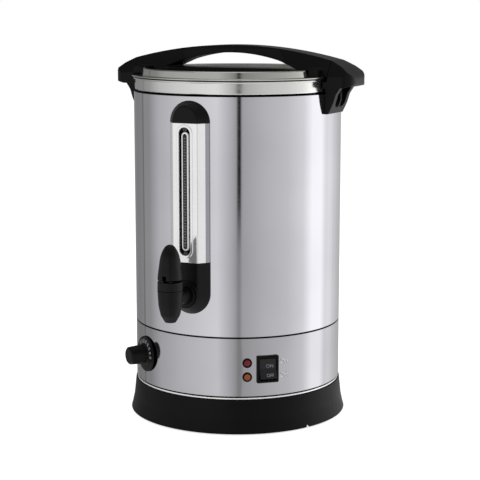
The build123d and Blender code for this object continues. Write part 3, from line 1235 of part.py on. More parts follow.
# ---------------------------------------------------------------- assembly
def build():
    keep("base_skirt", base_skirt())
    keep("bottom_plate", bottom_plate())
    keep("rubber_feet", rubber_feet())
    keep("foot_screws", foot_screws())
    keep("tie_rods", tie_rods())
    keep("tie_nuts", tie_nuts())
    keep("trim_ring", trim_ring())
    keep("control_band", control_band())
    keep("outer_shell", outer_shell())
    keep("inner_tank", inner_tank())
    keep("heater_plate", heater_plate())
    keep("heating_element", heating_element())
    keep("sensor_bulb", sensor_bulb())
    keep("capillary_tube", capillary_tube())
    keep("thermostat_body", thermostat_body())
    keep("thermostat_shaft", thermostat_shaft())
    keep("thermostat_knob", thermostat_knob())
    keep("rocker_housing", rocker_housing())
    keep("switch_terminals", switch_terminals())
    keep("rocker", rocker())
    keep("lamp_housings", gather([lamp_housing(LAMP_RED_Z), lamp_housing(LAMP_AMBER_Z)]))
    keep("heating_lens", lamp_lens(LAMP_RED_Z))
    keep("keep_warm_lens", lamp_lens(LAMP_AMBER_Z))
    keep("power_inlet", power_inlet())
    keep("inlet_pins", inlet_pins())
    keep("inlet_screws", inlet_screws())
    keep("reset_cutout", reset_cutout())
    keep("reset_button", reset_button())
    keep("terminal_block", terminal_block())
    keep("terminal_screws", terminal_screws())
    shell = column_shell()
    keep("tap_housing", tap_housing(shell))
    keep("gauge_cover", gauge_cover(shell))
    keep("gauge_cap", gauge_cap(shell))
    keep("gauge_panel", gauge_panel())
    keep("gauge_lens", gauge_lens())
    keep("gauge_screws", gauge_screws())
    keep("sight_tube", sight_tube())
    keep("gauge_seals", gauge_seals())
    keep("gauge_unions", gauge_unions())
    keep("level_scale", level_scale())
    keep("tap_body", tap_body())
    keep("tap_spacer", tap_spacer())
    keep("tap_collar", tap_collar())
    keep("tap_washers", tap_washers())
    keep("tap_nut", tap_nut())
    keep("tap_bonnet", tap_bonnet())
    keep("valve_stem", valve_stem())
    keep("valve_plug", valve_plug())
    keep("valve_spring", valve_spring())
    keep("tap_lever", tap_lever())
    keep("lever_pin", lever_pin())
    keep("lid_plate", lid_plate())
    keep("lid_inner_pan", lid_inner_pan())
    keep("lid_gasket", lid_gasket())
    keep("lid_screws", lid_screws())
    keep("lid_handle", lid_handle())
    keep("handle_right", side_handle(1))
    keep("handle_left", side_handle(-1))
    keep("handle_screws", handle_screws())


build()
os.makedirs("parts", exist_ok=True)
for name, part in PARTS.items():
    export_step(part, f"parts/{name}.step")
    print(f"{name}: {len(part.solids())} solid(s), {part.volume:.1f} mm3")
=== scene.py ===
"""Hot water urn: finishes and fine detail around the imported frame.
Metres, in the frame's own axes: +Z up, the tap at -Y, handles along X."""
import json
import math

import bmesh
import bpy
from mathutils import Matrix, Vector
from mathutils.bvhtree import BVHTree

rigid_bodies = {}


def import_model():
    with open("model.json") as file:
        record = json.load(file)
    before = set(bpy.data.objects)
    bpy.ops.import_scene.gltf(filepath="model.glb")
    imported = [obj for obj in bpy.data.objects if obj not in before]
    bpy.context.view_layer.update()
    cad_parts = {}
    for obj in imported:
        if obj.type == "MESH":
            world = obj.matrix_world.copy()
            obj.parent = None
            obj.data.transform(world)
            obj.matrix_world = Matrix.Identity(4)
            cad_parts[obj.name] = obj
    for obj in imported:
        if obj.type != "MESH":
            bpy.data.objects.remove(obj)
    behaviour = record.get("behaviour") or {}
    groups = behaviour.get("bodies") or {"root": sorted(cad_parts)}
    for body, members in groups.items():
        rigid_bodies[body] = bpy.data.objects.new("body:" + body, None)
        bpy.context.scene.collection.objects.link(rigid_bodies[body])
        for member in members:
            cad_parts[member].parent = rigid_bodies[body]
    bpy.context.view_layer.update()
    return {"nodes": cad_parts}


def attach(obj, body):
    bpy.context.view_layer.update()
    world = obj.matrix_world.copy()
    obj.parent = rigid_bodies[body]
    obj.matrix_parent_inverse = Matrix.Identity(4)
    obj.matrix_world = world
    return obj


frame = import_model()
nodes = frame["nodes"]
scene = bpy.context.scene
rad = math.radians

# ---------------------------------------------------------------- camera
CAM_AZIMUTH = rad(25.95)
CAM_DISTANCE = 1.6587
CAM_HEIGHT = 0.4781
CAM_PITCH = rad(9.503)
CAM_YAW = rad(0.0945)
CAM_LENS = 106.88

cam_data = bpy.data.cameras.new("camera")
cam_data.lens = CAM_LENS
cam_data.sensor_width = 36.0
cam_data.clip_start = 0.05
cam_data.clip_end = 60.0
cam = bpy.data.objects.new("camera", cam_data)
cam.location = (CAM_DISTANCE * math.sin(CAM_AZIMUTH), -CAM_DISTANCE * math.cos(CAM_AZIMUTH), CAM_HEIGHT)
cam.rotation_euler = (math.pi / 2 - CAM_PITCH, 0.0, CAM_AZIMUTH - CAM_YAW)
scene.collection.objects.link(cam)
scene.camera = cam
scene.view_settings.view_transform = "Standard"


# ---------------------------------------------------------------- node helpers
NOISE_SPREAD = (0.25, 0.75)


class Tree:
    """Short calls for building a node tree."""

    def __init__(self, tree):
        self.tree = tree
        tree.nodes.clear()

    def add(self, kind, **settings):
        node = self.tree.nodes.new(kind)
        for key, value in settings.items():
            setattr(node, key, value)
        return node

    def put(self, socket, value):
        """A link where value is an output, a constant otherwise."""
        if isinstance(value, bpy.types.NodeSocket):
            self.tree.links.new(value, socket)
        elif value is not None:
            socket.default_value = value

    def math(self, operation, a, b=None):
        node = self.add("ShaderNodeMath", operation=operation)
        self.put(node.inputs[0], a)
        self.put(node.inputs[1], b)
        return node.outputs[0]

    def place(self, stretch=(1, 1, 1)):
        coord = self.add("ShaderNodeTexCoord")
        mapping = self.add("ShaderNodeMapping")
        mapping.inputs["Scale"].default_value = stretch
        self.put(mapping.inputs["Vector"], coord.outputs["Object"])
        return mapping.outputs[0]

    def noise(self, scale, detail=3.0, roughness=0.55, stretch=(1, 1, 1)):
        node = self.add("ShaderNodeTexNoise")
        self.put(node.inputs["Vector"], self.place(stretch))
        node.inputs["Scale"].default_value = scale
        node.inputs["Detail"].default_value = detail
        node.inputs["Roughness"].default_value = roughness
        return node.outputs["Fac"]

    def ramp(self, factor, stops):
        node = self.add("ShaderNodeValToRGB")
        self.put(node.inputs[0], factor)
        elements = node.color_ramp.elements
        while len(elements) < len(stops):
            elements.new(0.5)
        for element, (position, colour) in zip(elements, stops):
            element.position = position
            c = colour if isinstance(colour, (tuple, list)) else (colour,) * 3
            element.color = (*c, 1.0)
        return node.outputs["Color"]

    def remap(self, value, source, target):
        """value from the range source to the range target, held at its ends."""
        node = self.add("ShaderNodeMapRange")
        self.put(node.inputs["Value"], value)
        for key, number in zip(("From Min", "From Max", "To Min", "To Max"), (*source, *target)):
            node.inputs[key].default_value = number
        return node.outputs[0]

    def span(self, noise, low, high):
        """The usual spread of a noise from low to high."""
        return self.remap(noise, NOISE_SPREAD, (low, high))

    def bump(self, height, depth, normal=None):
        node = self.add("ShaderNodeBump")
        node.inputs["Strength"].default_value = 1.0
        node.inputs["Distance"].default_value = depth
        self.put(node.inputs["Height"], height)
        self.put(node.inputs["Normal"], normal)
        return node.outputs[0]

    def soft_edges(self, radius):
        node = self.add("ShaderNodeBevel", samples=6)
        node.inputs["Radius"].default_value = radius
        return node.outputs[0]

    def axis(self, name):
        split = self.add("ShaderNodeSeparateXYZ")
        self.put(split.inputs[0], self.place())
        return split.outputs[name]

    def length(self, x, y):
        squares = [self.math("MULTIPLY", v, v) for v in (x, y)]
        return self.math("SQRT", self.math("ADD", *squares))

    def radius(self):
        """Distance from the object's Z axis."""
        x, y = self.axis("X"), self.axis("Y")
        return self.length(x, y)

    def within(self, bands, axis="Z"):
        """1 inside any of the bands along an object axis, 0 elsewhere."""
        place, total = self.axis(axis), 0.0
        for low, high in bands:
            above = self.math("GREATER_THAN", place, low)
            inside = self.math("MULTIPLY", above, self.math("LESS_THAN", place, high))
            total = self.math("MAXIMUM", inside, total)
        return total

    def blend(self, factor, a, b):
        node = self.add("ShaderNodeMix", data_type="RGBA")
        self.put(node.inputs["Factor"], factor)
        sockets = [i for i in node.inputs if i.type == "RGBA"]
        self.put(sockets[0], a)
        self.put(sockets[1], b)
        return [o for o in node.outputs if o.type == "RGBA"][0]


def emitter(name, build):
    """A material that glows and is no light source of its own to sample; build sets up its glow."""
    mat = bpy.data.materials.new(name)
    mat.use_nodes = True
    t = Tree(mat.node_tree)
    glow = t.add("ShaderNodeEmission")
    build(t, glow)
    out = t.add("ShaderNodeOutputMaterial")
    t.put(out.inputs["Surface"], glow.outputs[0])
    mat.cycles.emission_sampling = "NONE"
    return mat


def material(name, build):
    mat = bpy.data.materials.new(name)
    mat.use_nodes = True
    tree = Tree(mat.node_tree)
    shader = tree.add("ShaderNodeBsdfPrincipled")
    out = tree.add("ShaderNodeOutputMaterial")
    tree.put(out.inputs["Surface"], shader.outputs[0])
    build(tree, shader)
    return mat


def steel(name, low, high, rough, waviness=0.0, wave_scale=14.0, streak=0.0, seams=(), sides=(),
          metallic=1.0, edge=0.0, satin=None):
    """Polished or plain metal between the colours low and high. seams are the heights where shade is
    painted on its edges and gaps, and sides the places along X where shade is painted on its side strips.
    Within the radius given by satin it's dull."""
    def build(t, s):
        s.inputs["Metallic"].default_value = metallic
        colour = t.ramp(t.noise(9.0, 2.0), [(0.3, low), (0.7, high)])
        # painted shade: dark lines at the seams' heights and darker strips at the sides
        if seams:
            colour = t.blend(t.within(seams), colour, (*SEAM_SHADE, 1.0))
        if sides:
            colour = t.blend(t.within(sides, "X"), colour, (*SIDE_SHADE, 1.0))
        t.put(s.inputs["Base Color"], colour)
        grain = t.noise(60.0, 4.0, 0.6, (1.0, 1.0, 7.0))
        roughness = t.span(grain, rough * 0.8, rough * 1.25)
        if satin:
            inside = t.math("LESS_THAN", t.radius(), satin)
            roughness = t.math("ADD", roughness, t.math("MULTIPLY", inside, SATIN_ROUGH))
        t.put(s.inputs["Roughness"], roughness)
        normal = t.soft_edges(edge) if edge else None
        if waviness:
            normal = t.bump(t.noise(wave_scale, 1.0, 0.4, (1.0, 1.0, 0.8)), waviness, normal)
        if streak:
            fine = t.noise(420.0, 3.0, 0.6, (1.0, 1.0, 0.04))
            normal = t.bump(fine, streak, normal)
        t.put(s.inputs["Normal"], normal)
    return material(name, build)


def plastic(name, colour, rough, grain_scale=900.0, grain=0.00002, spread=0.25, level=0.3, edge=0.0,
            hollows=()):
    """Moulded plastic or rubber; hollows are the heights that lie inside it, in shade."""
    def build(t, s):
        tone = t.noise(22.0, 3.0)
        low = tuple(c * (1 - spread) for c in colour)
        high = tuple(c * (1 + spread) for c in colour)
        shade = t.ramp(tone, [(0.3, low), (0.7, high)])
        if hollows:
            dark = t.within(hollows)
            shade = t.blend(dark, shade, (*HOLLOW_SHADE, 1.0))
            t.put(s.inputs["Metallic"], dark)    # takes the gloss away there
        t.put(s.inputs["Base Color"], shade)
        wear = t.noise(35.0, 4.0, 0.65)
        t.put(s.inputs["Roughness"], t.span(wear, rough * 0.88, rough * 1.12))
        s.inputs["Specular IOR Level"].default_value = level
        normal = t.soft_edges(edge) if edge else None
        if grain:
            normal = t.bump(t.noise(grain_scale, 2.0, 0.5), grain, normal)
        t.put(s.inputs["Normal"], normal)
    return material(name, build)


def clear(name, colour, rough=0.03, ior=1.45):
    def build(t, s):
        s.inputs["Base Color"].default_value = (*colour, 1.0)
        s.inputs["Transmission Weight"].default_value = 1.0
        s.inputs["IOR"].default_value = ior
        t.put(s.inputs["Roughness"], t.span(t.noise(80.0, 3.0), rough, rough * 2.5))
    return material(name, build)


def bordered_lens(name):
    """Clear gauge lens whose outline is painted white and opaque, a painted highlight where its edge
    catches the light.
    """
    low, high = LENS_Z
    def build(t, s):
        x, z = t.axis("X"), t.axis("Z")
        end = t.math("MINIMUM", t.math("SUBTRACT", z, low), 0.0)
        end = t.math("ADD", end, t.math("MAXIMUM", t.math("SUBTRACT", z, high), 0.0))
        edge_highlight = t.math("GREATER_THAN", t.length(x, end), LENS_CLEAR_HALF)
        t.put(s.inputs["Base Color"], t.blend(edge_highlight, (*LENS_CLEAR, 1.0), (*LENS_HIGHLIGHT, 1.0)))
        t.put(s.inputs["Transmission Weight"], t.math("SUBTRACT", 1.0, edge_highlight))
        t.put(s.inputs["Roughness"], t.span(t.noise(80.0, 3.0), 0.05, 0.12))
        s.inputs["IOR"].default_value = 1.4
    return material(name, build)


SEAM_SHADE = (0.008, 0.007, 0.008)
HOLLOW_SHADE = (0.0004, 0.0004, 0.0004)
# colour of the painted shade on the gauge cover's side strips
SIDE_SHADE = (0.36, 0.355, 0.39)
SATIN_ROUGH = 0.35            # added to the roughness of a satin part
LENS_Z = (0.2123, 0.3340)     # centres of the lens's round ends
LENS_CLEAR_HALF = 0.00265     # half width of its clear middle
# colour of the clear middle, and the white of the painted highlight along the lens's outline
LENS_CLEAR, LENS_HIGHLIGHT = (0.30, 0.31, 0.32), (0.92, 0.92, 0.92)
BLACK = (0.0023, 0.0022, 0.0027)
LID_RECESS_R = 0.10835        # inner wall of the lid's raised ring
MATS = {
    "shell": steel("shell_steel", (0.598, 0.592, 0.630), (0.655, 0.650, 0.685), 0.07,
                   0.00010, 9.0, 0.000002, [(0.1, 0.1111), (0.3763, 0.38)]),
    "band": steel("band_steel", (0.490, 0.486, 0.514), (0.548, 0.542, 0.570), 0.07,
                  0.00022, 16.0, 0.000002, [(0.04, 0.0434), (0.1091, 0.12)]),
    "lid": steel("lid_steel", (0.56, 0.56, 0.525), (0.63, 0.63, 0.595), 0.12, 0.00006, 14.0, 0.000002,
                 satin=LID_RECESS_R),
    "pot": steel("pot_steel", (0.70, 0.70, 0.68), (0.77, 0.77, 0.755), 0.16, 0.00006, 12.0,
                 seams=[(0.3765, 0.3780)]),
    "bright": steel("bright_steel", (0.92, 0.92, 0.93), (0.96, 0.96, 0.97), 0.08, 0.00004, 20.0,
                    # gauge cover: painted shade along both side strips
                    sides=[(0.0212, 0.03), (-0.03, -0.0222)], metallic=0.75, edge=0.0005),
    "trim": steel("trim_steel", (0.92, 0.92, 0.92), (0.96, 0.96, 0.96), 0.15,
                  seams=[(0.0416, 0.05)], metallic=0.5),
    "screw": steel("screw_steel", (0.5, 0.5, 0.51), (0.6, 0.6, 0.61), 0.25),
    # painted dark reflection: the chrome heads of the gauge screws coloured near black
    "dim": steel("screw_steel_painted_dark", (0.05, 0.05, 0.05), (0.09, 0.09, 0.09), 0.3),
    "plate": steel("plate_steel", (0.42, 0.42, 0.43), (0.5, 0.5, 0.51), 0.35),
    "alloy": steel("cast_alloy", (0.5, 0.5, 0.51), (0.6, 0.6, 0.61), 0.45),
    "copper": steel("copper", (0.62, 0.28, 0.15), (0.75, 0.38, 0.22), 0.25),
    "brass": steel("brass", (0.62, 0.45, 0.18), (0.75, 0.56, 0.25), 0.25),
    "black": plastic("black_plastic", BLACK, 0.40, level=0.19, edge=0.0005),
    "tap": plastic("tap_plastic", BLACK, 0.36, level=0.22, edge=0.0004,
                   hollows=[(0.1806, 0.1830)]),
    "bonnet": plastic("bonnet_plastic", BLACK, 0.36, level=0.22, edge=0.0003,
                      hollows=[(0.18045, 0.2)]),
    "handle": plastic("handle_plastic", BLACK, 0.32, level=0.135, edge=0.0022),
    "base": plastic("base_plastic", BLACK, 0.42, 1300.0, 0.00003, level=0.12, edge=0.0005),
    "gloss": plastic("gloss_black", (0.010, 0.010, 0.012), 0.22, 0, 0, level=0.3, edge=0.0005),
    "bezel": plastic("bezel_black", (0.0016, 0.0016, 0.002), 0.25, 0, 0, level=0.12, edge=0.0004),
    "panel": plastic("panel_black", (0.0012, 0.0012, 0.0012), 0.4, 0, 0, level=0.08),
    "rubber": plastic("foot_rubber", (0.02, 0.02, 0.02), 0.8, 700.0, 0.00008),
    "silicone": plastic("silicone", (0.55, 0.54, 0.5), 0.5, 0, 0),
    "gasket": plastic("gasket_rubber", (0.012, 0.012, 0.012), 0.6, 0, 0, level=0.15),
    "ceramic": plastic("ceramic", (0.7, 0.69, 0.64), 0.6, 900.0, 0.00004, 0.05),
    "scale": plastic("pale_scale", (0.50, 0.50, 0.50), 0.5, 0, 0, 0.08),
    "red": plastic("red_lens", (0.145, 0.006, 0.010), 0.25, 0, 0, 0.12, 0.4),
    "amber": plastic("amber_lens", (0.27, 0.062, 0.011), 0.25, 0, 0, 0.12, 0.4),
    "button": plastic("red_button", (0.4, 0.02, 0.02), 0.3, 0, 0, 0.1),
    "glass": clear("clear_glass", (0.95, 0.96, 0.96)),
    "lens": bordered_lens("gauge_lens"),
    "print": plastic("white_print", (0.36, 0.36, 0.37), 0.5, 0, 0, 0.05),
    "mark": plastic("grey_print", (0.20, 0.20, 0.21), 0.5, 0, 0, 0.05),
    # painted shadow under the raised words on the band
    "shade": plastic("painted_word_shadow", (0.05, 0.05, 0.055), 0.5, 0, 0, 0.05),
    "raised": steel("raised_letters", (0.90, 0.90, 0.90), (0.95, 0.95, 0.95), 0.2, metallic=0.6),
    "ink": plastic("black_ink", (0.004, 0.004, 0.004), 0.5, 0, 0),
}
DRESS = {
    "shell": "outer_shell", "band": "control_band", "lid": "lid_plate", "pot": "inner_tank lid_inner_pan",
    "bright": "gauge_cover", "trim": "trim_ring", "gasket": "lid_gasket", "lens": "gauge_lens",
    "handle": "handle_right handle_left lid_handle",
    "screw": "foot_screws tie_rods tie_nuts thermostat_shaft inlet_pins inlet_screws gauge_unions "
             "valve_stem valve_spring lever_pin lid_screws handle_screws switch_terminals heating_element",
    "plate": "bottom_plate", "alloy": "heater_plate", "copper": "sensor_bulb capillary_tube",
    "brass": "terminal_screws",
    "tap": "tap_lever", "bonnet": "tap_bonnet", "dim": "gauge_screws",
    "bezel": "rocker_housing lamp_housings",
    "black": "tap_housing gauge_cap tap_body tap_collar thermostat_knob power_inlet "
             "reset_cutout tap_spacer thermostat_body tap_nut",
    "base": "base_skirt", "gloss": "rocker", "panel": "gauge_panel",
    "rubber": "rubber_feet", "silicone": "tap_washers gauge_seals valve_plug",
    "ceramic": "terminal_block", "scale": "level_scale", "red": "heating_lens", "amber": "keep_warm_lens",
    "button": "reset_button", "glass": "sight_tube",
}
for look, names in DRESS.items():
    for name in names.split():
        slots = nodes[name].material_slots
        for slot in slots:
            slot.material = MATS[look]
        if not slots:
            nodes[name].data.materials.append(MATS[look])


# ---------------------------------------------------------------- labels
class Spot:
    """A place on the outside, by the angle round the body from the tap and the height."""

    def __init__(self, angle, height, distance, turn=0.0):
        a = rad(angle)
        self.out = Vector((math.sin(a), -math.cos(a), 0.0))
        across, up = Vector((math.cos(a), math.sin(a), 0.0)), Vector((0.0, 0.0, 1.0))
        t = rad(turn)
        self.right = across * math.cos(t) + up * math.sin(t)
        self.up = up * math.cos(t) - across * math.sin(t)
        self.origin = self.out * distance + up * height

    def point(self, x, y):
        return self.origin + self.right * x + self.up * y


def lettering(text, size, thickness):
    """Closed flat letters centred on the origin, as vertices and faces."""
    curve = bpy.data.curves.new("letters", "FONT")
    curve.body, curve.size, curve.extrude = text, size, thickness / 2
    curve.align_x, curve.align_y, curve.resolution_u = "CENTER", "CENTER", 3
    holder = bpy.data.objects.new("letters", curve)
    scene.collection.objects.link(holder)
    mesh = bpy.data.meshes.new_from_object(holder.evaluated_get(bpy.context.evaluated_depsgraph_get()))
    bm = bmesh.new()
    bm.from_mesh(mesh)
    bmesh.ops.remove_doubles(bm, verts=bm.verts, dist=size * 1e-4)
    bm.verts.ensure_lookup_table()
    verts = [v.co.copy() for v in bm.verts]
    faces = [[v.index for v in f.verts] for f in bm.faces]
    bm.free()
    for block, item in ((bpy.data.objects, holder), (bpy.data.curves, curve), (bpy.data.meshes, mesh)):
        block.remove(item)
    return verts, faces


def bar(width, height, thickness):
    x, y, z = width / 2, height / 2, thickness / 2
    verts = [Vector((i, j, k)) for k in (-z, z) for i, j in ((-x, -y), (x, -y), (x, y), (-x, y))]
    faces = [(3, 2, 1, 0), (4, 5, 6, 7), (0, 1, 5, 4), (1, 2, 6, 5), (2, 3, 7, 6), (3, 0, 4, 7)]
    return verts, faces


def label(name, node, look, body, marks, thickness, clear_by=0.00003):
    """Lays flat marks on a CAD node: each is (verts, faces), its spot and its shift on that spot."""
    mesh = nodes[node].data
    tree = BVHTree.FromPolygons([v.co for v in mesh.vertices], [p.vertices for p in mesh.polygons])
    verts, faces = [], []
    for (shape, polygons), spot, (dx, dy) in marks:
        first = len(verts)
        for v in shape:
            start = spot.point(v.x + dx, v.y + dy) + spot.out * 0.05
            hit = tree.ray_cast(start, -spot.out)[0]
            if hit is None:
                raise RuntimeError(name + " lies beside its surface")
            verts.append(hit + spot.out * (v.z + thickness / 2 + clear_by))
        faces += [[first + i for i in polygon] for polygon in polygons]
    obj = new_mesh(name, verts, faces)
    obj.data.materials.append(MATS[look])
    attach(obj, body)


def new_mesh(name, verts, faces):
    mesh = bpy.data.meshes.new(name)
    mesh.from_pydata(verts, [], faces)
    obj = bpy.data.objects.new(name, mesh)
    scene.collection.objects.link(obj)
    return obj


def rolled_edge(name, look, body, middle, height, wire):
    """Smooth bead over a rolled edge of the sheet."""
    rounds, sides = 240, 14
    verts, faces = [], []
    for i in range(rounds):
        a = 2 * math.pi * i / rounds
        for k in range(sides):
            b = 2 * math.pi * k / sides
            r = middle + wire * math.cos(b)
            verts.append((r * math.cos(a), r * math.sin(a), height + wire * math.sin(b)))
            n, m = (i + 1) % rounds, (k + 1) % sides
            faces.append((i * sides + k, n * sides + k, n * sides + m, i * sides + m))
    obj = new_mesh(name, verts, faces)
    for polygon in obj.data.polygons:
        polygon.use_smooth = True
    obj.data.materials.append(MATS[look])
    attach(obj, body)


# name, look, body, radius and height of the wire's middle, radius of the wire
rolled_edge("lid_edge_bead", "lid", "lid", 0.1220, 0.3947, 0.00093)
rolled_edge("tank_rim_bead", "pot", "urn", 0.1198, 0.3919, 0.00123)

INK = 0.00012                 # thickness of printed marks
OUTSIDE = 0.12                # the shell's and the band's radius
KNOB_ANGLE, KNOB_Z, DIAL_FACE = -35.0, 0.0775, 0.1231
NUMBER_SIZE = 0.0044
DIAL_MIDDLE = 0.0150          # middle of the numbers from the dial's centre
DIAL_FIRST, DIAL_STEP = -6.0, 20.0    # anticlockwise from the right
dial_marks = []
for i, value in enumerate(range(30, 110, 10)):
    clock = DIAL_FIRST + i * DIAL_STEP
    dial_marks.append((lettering(str(value), NUMBER_SIZE, INK),
                       Spot(KNOB_ANGLE, KNOB_Z, DIAL_FACE, clock), (DIAL_MIDDLE, 0.0)))
label("dial_numbers", "thermostat_knob", "print", "knob", dial_marks, INK)
label("dial_index", "control_band", "ink", "urn", [
    (bar(0.0011, 0.0028, INK), Spot(-25.1, 0.0764, OUTSIDE), (0, 0))], INK)

RAISED, WORD_SIZE, WORD_ANGLE = 0.0005, 0.0074, 51.4
SHADE_SHIFT = (0.0006, -0.0005)
ABOVE_SHADE = 0.0002          # from the band to the words, over their shade
ROCKER_ANGLE = 43.0
words = (("On", 0.0815), ("Off", 0.0657))
# painted shadow: a dark copy of the words, shifted right and down, under the raised words
label("switch_words_shade", "control_band", "shade", "urn", [
    (lettering(word, WORD_SIZE, INK), Spot(WORD_ANGLE, height, OUTSIDE), SHADE_SHIFT)
    for word, height in words], INK)
label("switch_words", "control_band", "raised", "urn", [
    (lettering(word, WORD_SIZE, RAISED), Spot(WORD_ANGLE, height, OUTSIDE), (0, 0))
    for word, height in words], RAISED, ABOVE_SHADE)
label("rocker_words", "rocker", "mark", "rocker", [
    (lettering("ON", 0.0056, INK), Spot(ROCKER_ANGLE, 0.0775, OUTSIDE), (0, 0)),
    (lettering("OFF", 0.0050, INK), Spot(ROCKER_ANGLE, 0.0672, OUTSIDE), (0, 0))], INK)

GAUGE_PITCH = 0.0031
label("gauge_marks", "gauge_lens", "mark", "urn", [
    (bar(0.0022, 0.0009, INK), Spot(0.0, LENS_Z[0] + GAUGE_PITCH * (i + 0.5), OUTSIDE), (0, 0))
    for i in range(int((LENS_Z[1] - LENS_Z[0]) / GAUGE_PITCH))], INK)


# ---------------------------------------------------------------- studio
FLOOR_SIZE = 12.0
FLOOR_GLOW = 0.70
FLOOR_GREY = 0.56
WALL_R = 3.0
WALL_LOW, WALL_HIGH = -3.0, 3.0
WALL_SEGMENTS = 96
WALL_STRENGTH = 1.55
WORLD_LIGHT = 0.6              # what the white world gives as light; it looks fully white
CEILING_STRENGTH = 0.26        # by the walls
CEILING_MIDDLE = 0.85          # straight above the urn
CEILING_LIT = (0.3, 2.2)       # distances from its middle between which it darkens
# angle from the camera's direction as seen from the urn, positive to the right: brightness
WALL_STOPS = [
    (-180, 0.30), (-146, 0.26), (-129, 0.32), (-127, 0.12), (-125, 0.36),     # behind, with a stand
    (-113, 0.375), (-95, 0.64), (-65, 0.80), (-22, 0.95),                     # left screen
    (-6, 0.60), (-1.2, 0.46), (0.2, 0.01), (3.0, 0.01), (4.4, 0.52),         # gap round the camera
    (30, 0.68), (55, 0.80), (76, 1.00),                                       # right screen
    (89, 1.44), (104, 1.46),                                                  # lamp panel
    (113, 1.06), (121, 1.10), (130, 0.93), (144, 0.70), (180, 0.30)]          # and behind
GAP_FULL, GAP_FADED = -0.13, -0.30    # heights on the wall between which the dark gap fades
GAP_FADE = 0.72                       # how much of it is gone there
GAP_DARK, GAP_HALF_TURN = 0.1, 0.03   # stops this dark and this near the camera, in turns, are the gap
WALL_DIMS = (0.45, 1.5)               # heights on the wall between which it darkens upward
WALL_UPPER = 0.40


def add_floor():
    h = FLOOR_SIZE / 2
    floor = new_mesh("floor", [(-h, -h, 0), (h, -h, 0), (h, h, 0), (-h, h, 0)], [(0, 1, 2, 3)])
    mat = bpy.data.materials.new("floor")
    mat.use_nodes = True
    t = Tree(mat.node_tree)
    diffuse = t.add("ShaderNodeBsdfDiffuse")
    diffuse.inputs["Color"].default_value = (*(FLOOR_GREY,) * 3, 1)
    glow = t.add("ShaderNodeEmission")
    path = t.add("ShaderNodeLightPath")
    seen = t.math("MAXIMUM", path.outputs["Is Camera Ray"], path.outputs["Is Glossy Ray"])
    seen = t.math("MAXIMUM", seen, path.outputs["Is Transmission Ray"])
    t.put(glow.inputs["Strength"], t.math("MULTIPLY", seen, FLOOR_GLOW))
    both = t.add("ShaderNodeAddShader")
    t.put(both.inputs[0], diffuse.outputs[0])
    t.put(both.inputs[1], glow.outputs[0])
    out = t.add("ShaderNodeOutputMaterial")
    t.put(out.inputs["Surface"], both.outputs[0])
    mat.cycles.emission_sampling = "NONE"
    floor.data.materials.append(mat)
    floor.visible_glossy = False


def add_wall():
    """Round studio wall that the polished steel mirrors: pale panels with darker gaps between."""
    n = WALL_SEGMENTS
    turns = [2 * math.pi * i / n for i in range(n)]
    ring = [(WALL_R * math.sin(a), -WALL_R * math.cos(a)) for a in turns]
    verts = [(x, y, z) for z in (WALL_LOW, WALL_HIGH) for x, y in ring]
    faces = [(i, (i + 1) % n, n + (i + 1) % n, n + i) for i in range(n)]
    wall = new_mesh("studio_wall", verts, faces)
    wall.rotation_euler = (0, 0, CAM_AZIMUTH)

    def build(t, glow):
        x, y, z = t.axis("X"), t.axis("Y"), t.axis("Z")
        angle = t.math("ARCTAN2", x, t.math("MULTIPLY", y, -1.0))
        turn = t.math("ADD", t.math("DIVIDE", angle, 2 * math.pi), 0.5)
        stops = [((a + 180) / 360, b / WALL_STRENGTH) for a, b in WALL_STOPS]
        lit = [(at, value) for at, value in stops
               if value * WALL_STRENGTH > GAP_DARK or abs(at - 0.5) > GAP_HALF_TURN]
        faded = t.remap(z, (GAP_FULL, GAP_FADED), (0.0, GAP_FADE))
        t.put(glow.inputs["Color"], t.blend(faded, t.ramp(turn, stops), t.ramp(turn, lit)))
        strength = (WALL_STRENGTH, WALL_STRENGTH * WALL_UPPER)
        t.put(glow.inputs["Strength"], t.remap(z, WALL_DIMS, strength))

    wall.data.materials.append(emitter("studio_wall", build))
    only_mirrored(wall)


def only_mirrored(piece):
    for ray in ("camera", "diffuse", "transmission", "volume_scatter", "shadow"):
        setattr(piece, "visible_" + ray, False)


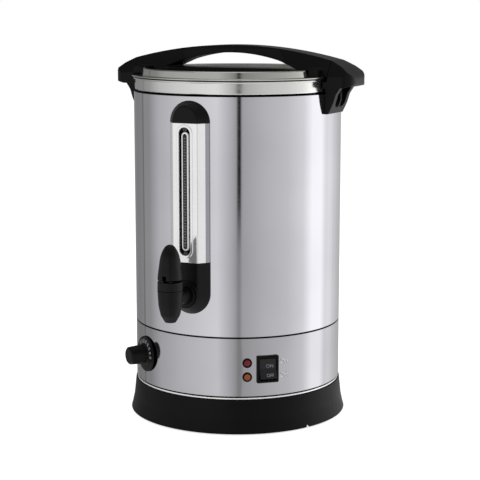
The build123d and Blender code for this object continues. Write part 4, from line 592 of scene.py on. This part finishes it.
def add_ceiling():
    """Grey studio ceiling, seen only in the polished and glossy surfaces."""
    r, z = WALL_R * 1.05, WALL_HIGH
    corners = [(-r, -r, z), (-r, r, z), (r, r, z), (r, -r, z)]
    ceiling = new_mesh("studio_ceiling", corners, [(0, 1, 2, 3)])

    def build(t, glow):
        glow.inputs["Color"].default_value = (1, 1, 1, 1)
        strength = (CEILING_MIDDLE, CEILING_STRENGTH)
        t.put(glow.inputs["Strength"], t.remap(t.radius(), CEILING_LIT, strength))

    ceiling.data.materials.append(emitter("studio_ceiling", build))
    only_mirrored(ceiling)


def add_world():
    world = bpy.data.worlds.new("world")
    scene.world = world
    world.use_nodes = True
    t = Tree(world.node_tree)
    path = t.add("ShaderNodeLightPath")
    seen = t.math("MAXIMUM", path.outputs["Is Camera Ray"], path.outputs["Is Glossy Ray"])
    seen = t.math("MAXIMUM", seen, path.outputs["Is Transmission Ray"])
    back = t.add("ShaderNodeBackground")
    back.inputs["Color"].default_value = (1, 1, 1, 1)
    share = t.math("MULTIPLY", seen, 1.0 - WORLD_LIGHT)
    t.put(back.inputs["Strength"], t.math("ADD", share, WORLD_LIGHT))
    out = t.add("ShaderNodeOutputWorld")
    t.put(out.inputs["Surface"], back.outputs[0])


LAMP_AIM_Z = 0.2


def add_lamp(name, azimuth, elevation, distance, size, watts):
    """Square lamp that looks at the urn and isn't mirrored in it."""
    data = bpy.data.lights.new(name, "AREA")
    data.shape = "SQUARE"
    data.size = size
    data.energy = watts
    lamp = bpy.data.objects.new(name, data)
    a, e = rad(azimuth), rad(elevation)
    lamp.location = (distance * math.sin(a) * math.cos(e), -distance * math.cos(a) * math.cos(e),
                     LAMP_AIM_Z + distance * math.sin(e))
    view = Vector((0, 0, LAMP_AIM_Z)) - lamp.location
    lamp.rotation_euler = view.to_track_quat("-Z", "Y").to_euler()
    lamp.visible_glossy = False
    scene.collection.objects.link(lamp)


add_floor()
add_wall()
add_ceiling()
add_world()
add_lamp("key", 95, 40, 2.2, 1.2, 22.0)
add_lamp("fill", -40, 35, 2.4, 1.4, 16.0)
add_lamp("top", 25, 82, 2.2, 1.2, 14.0)
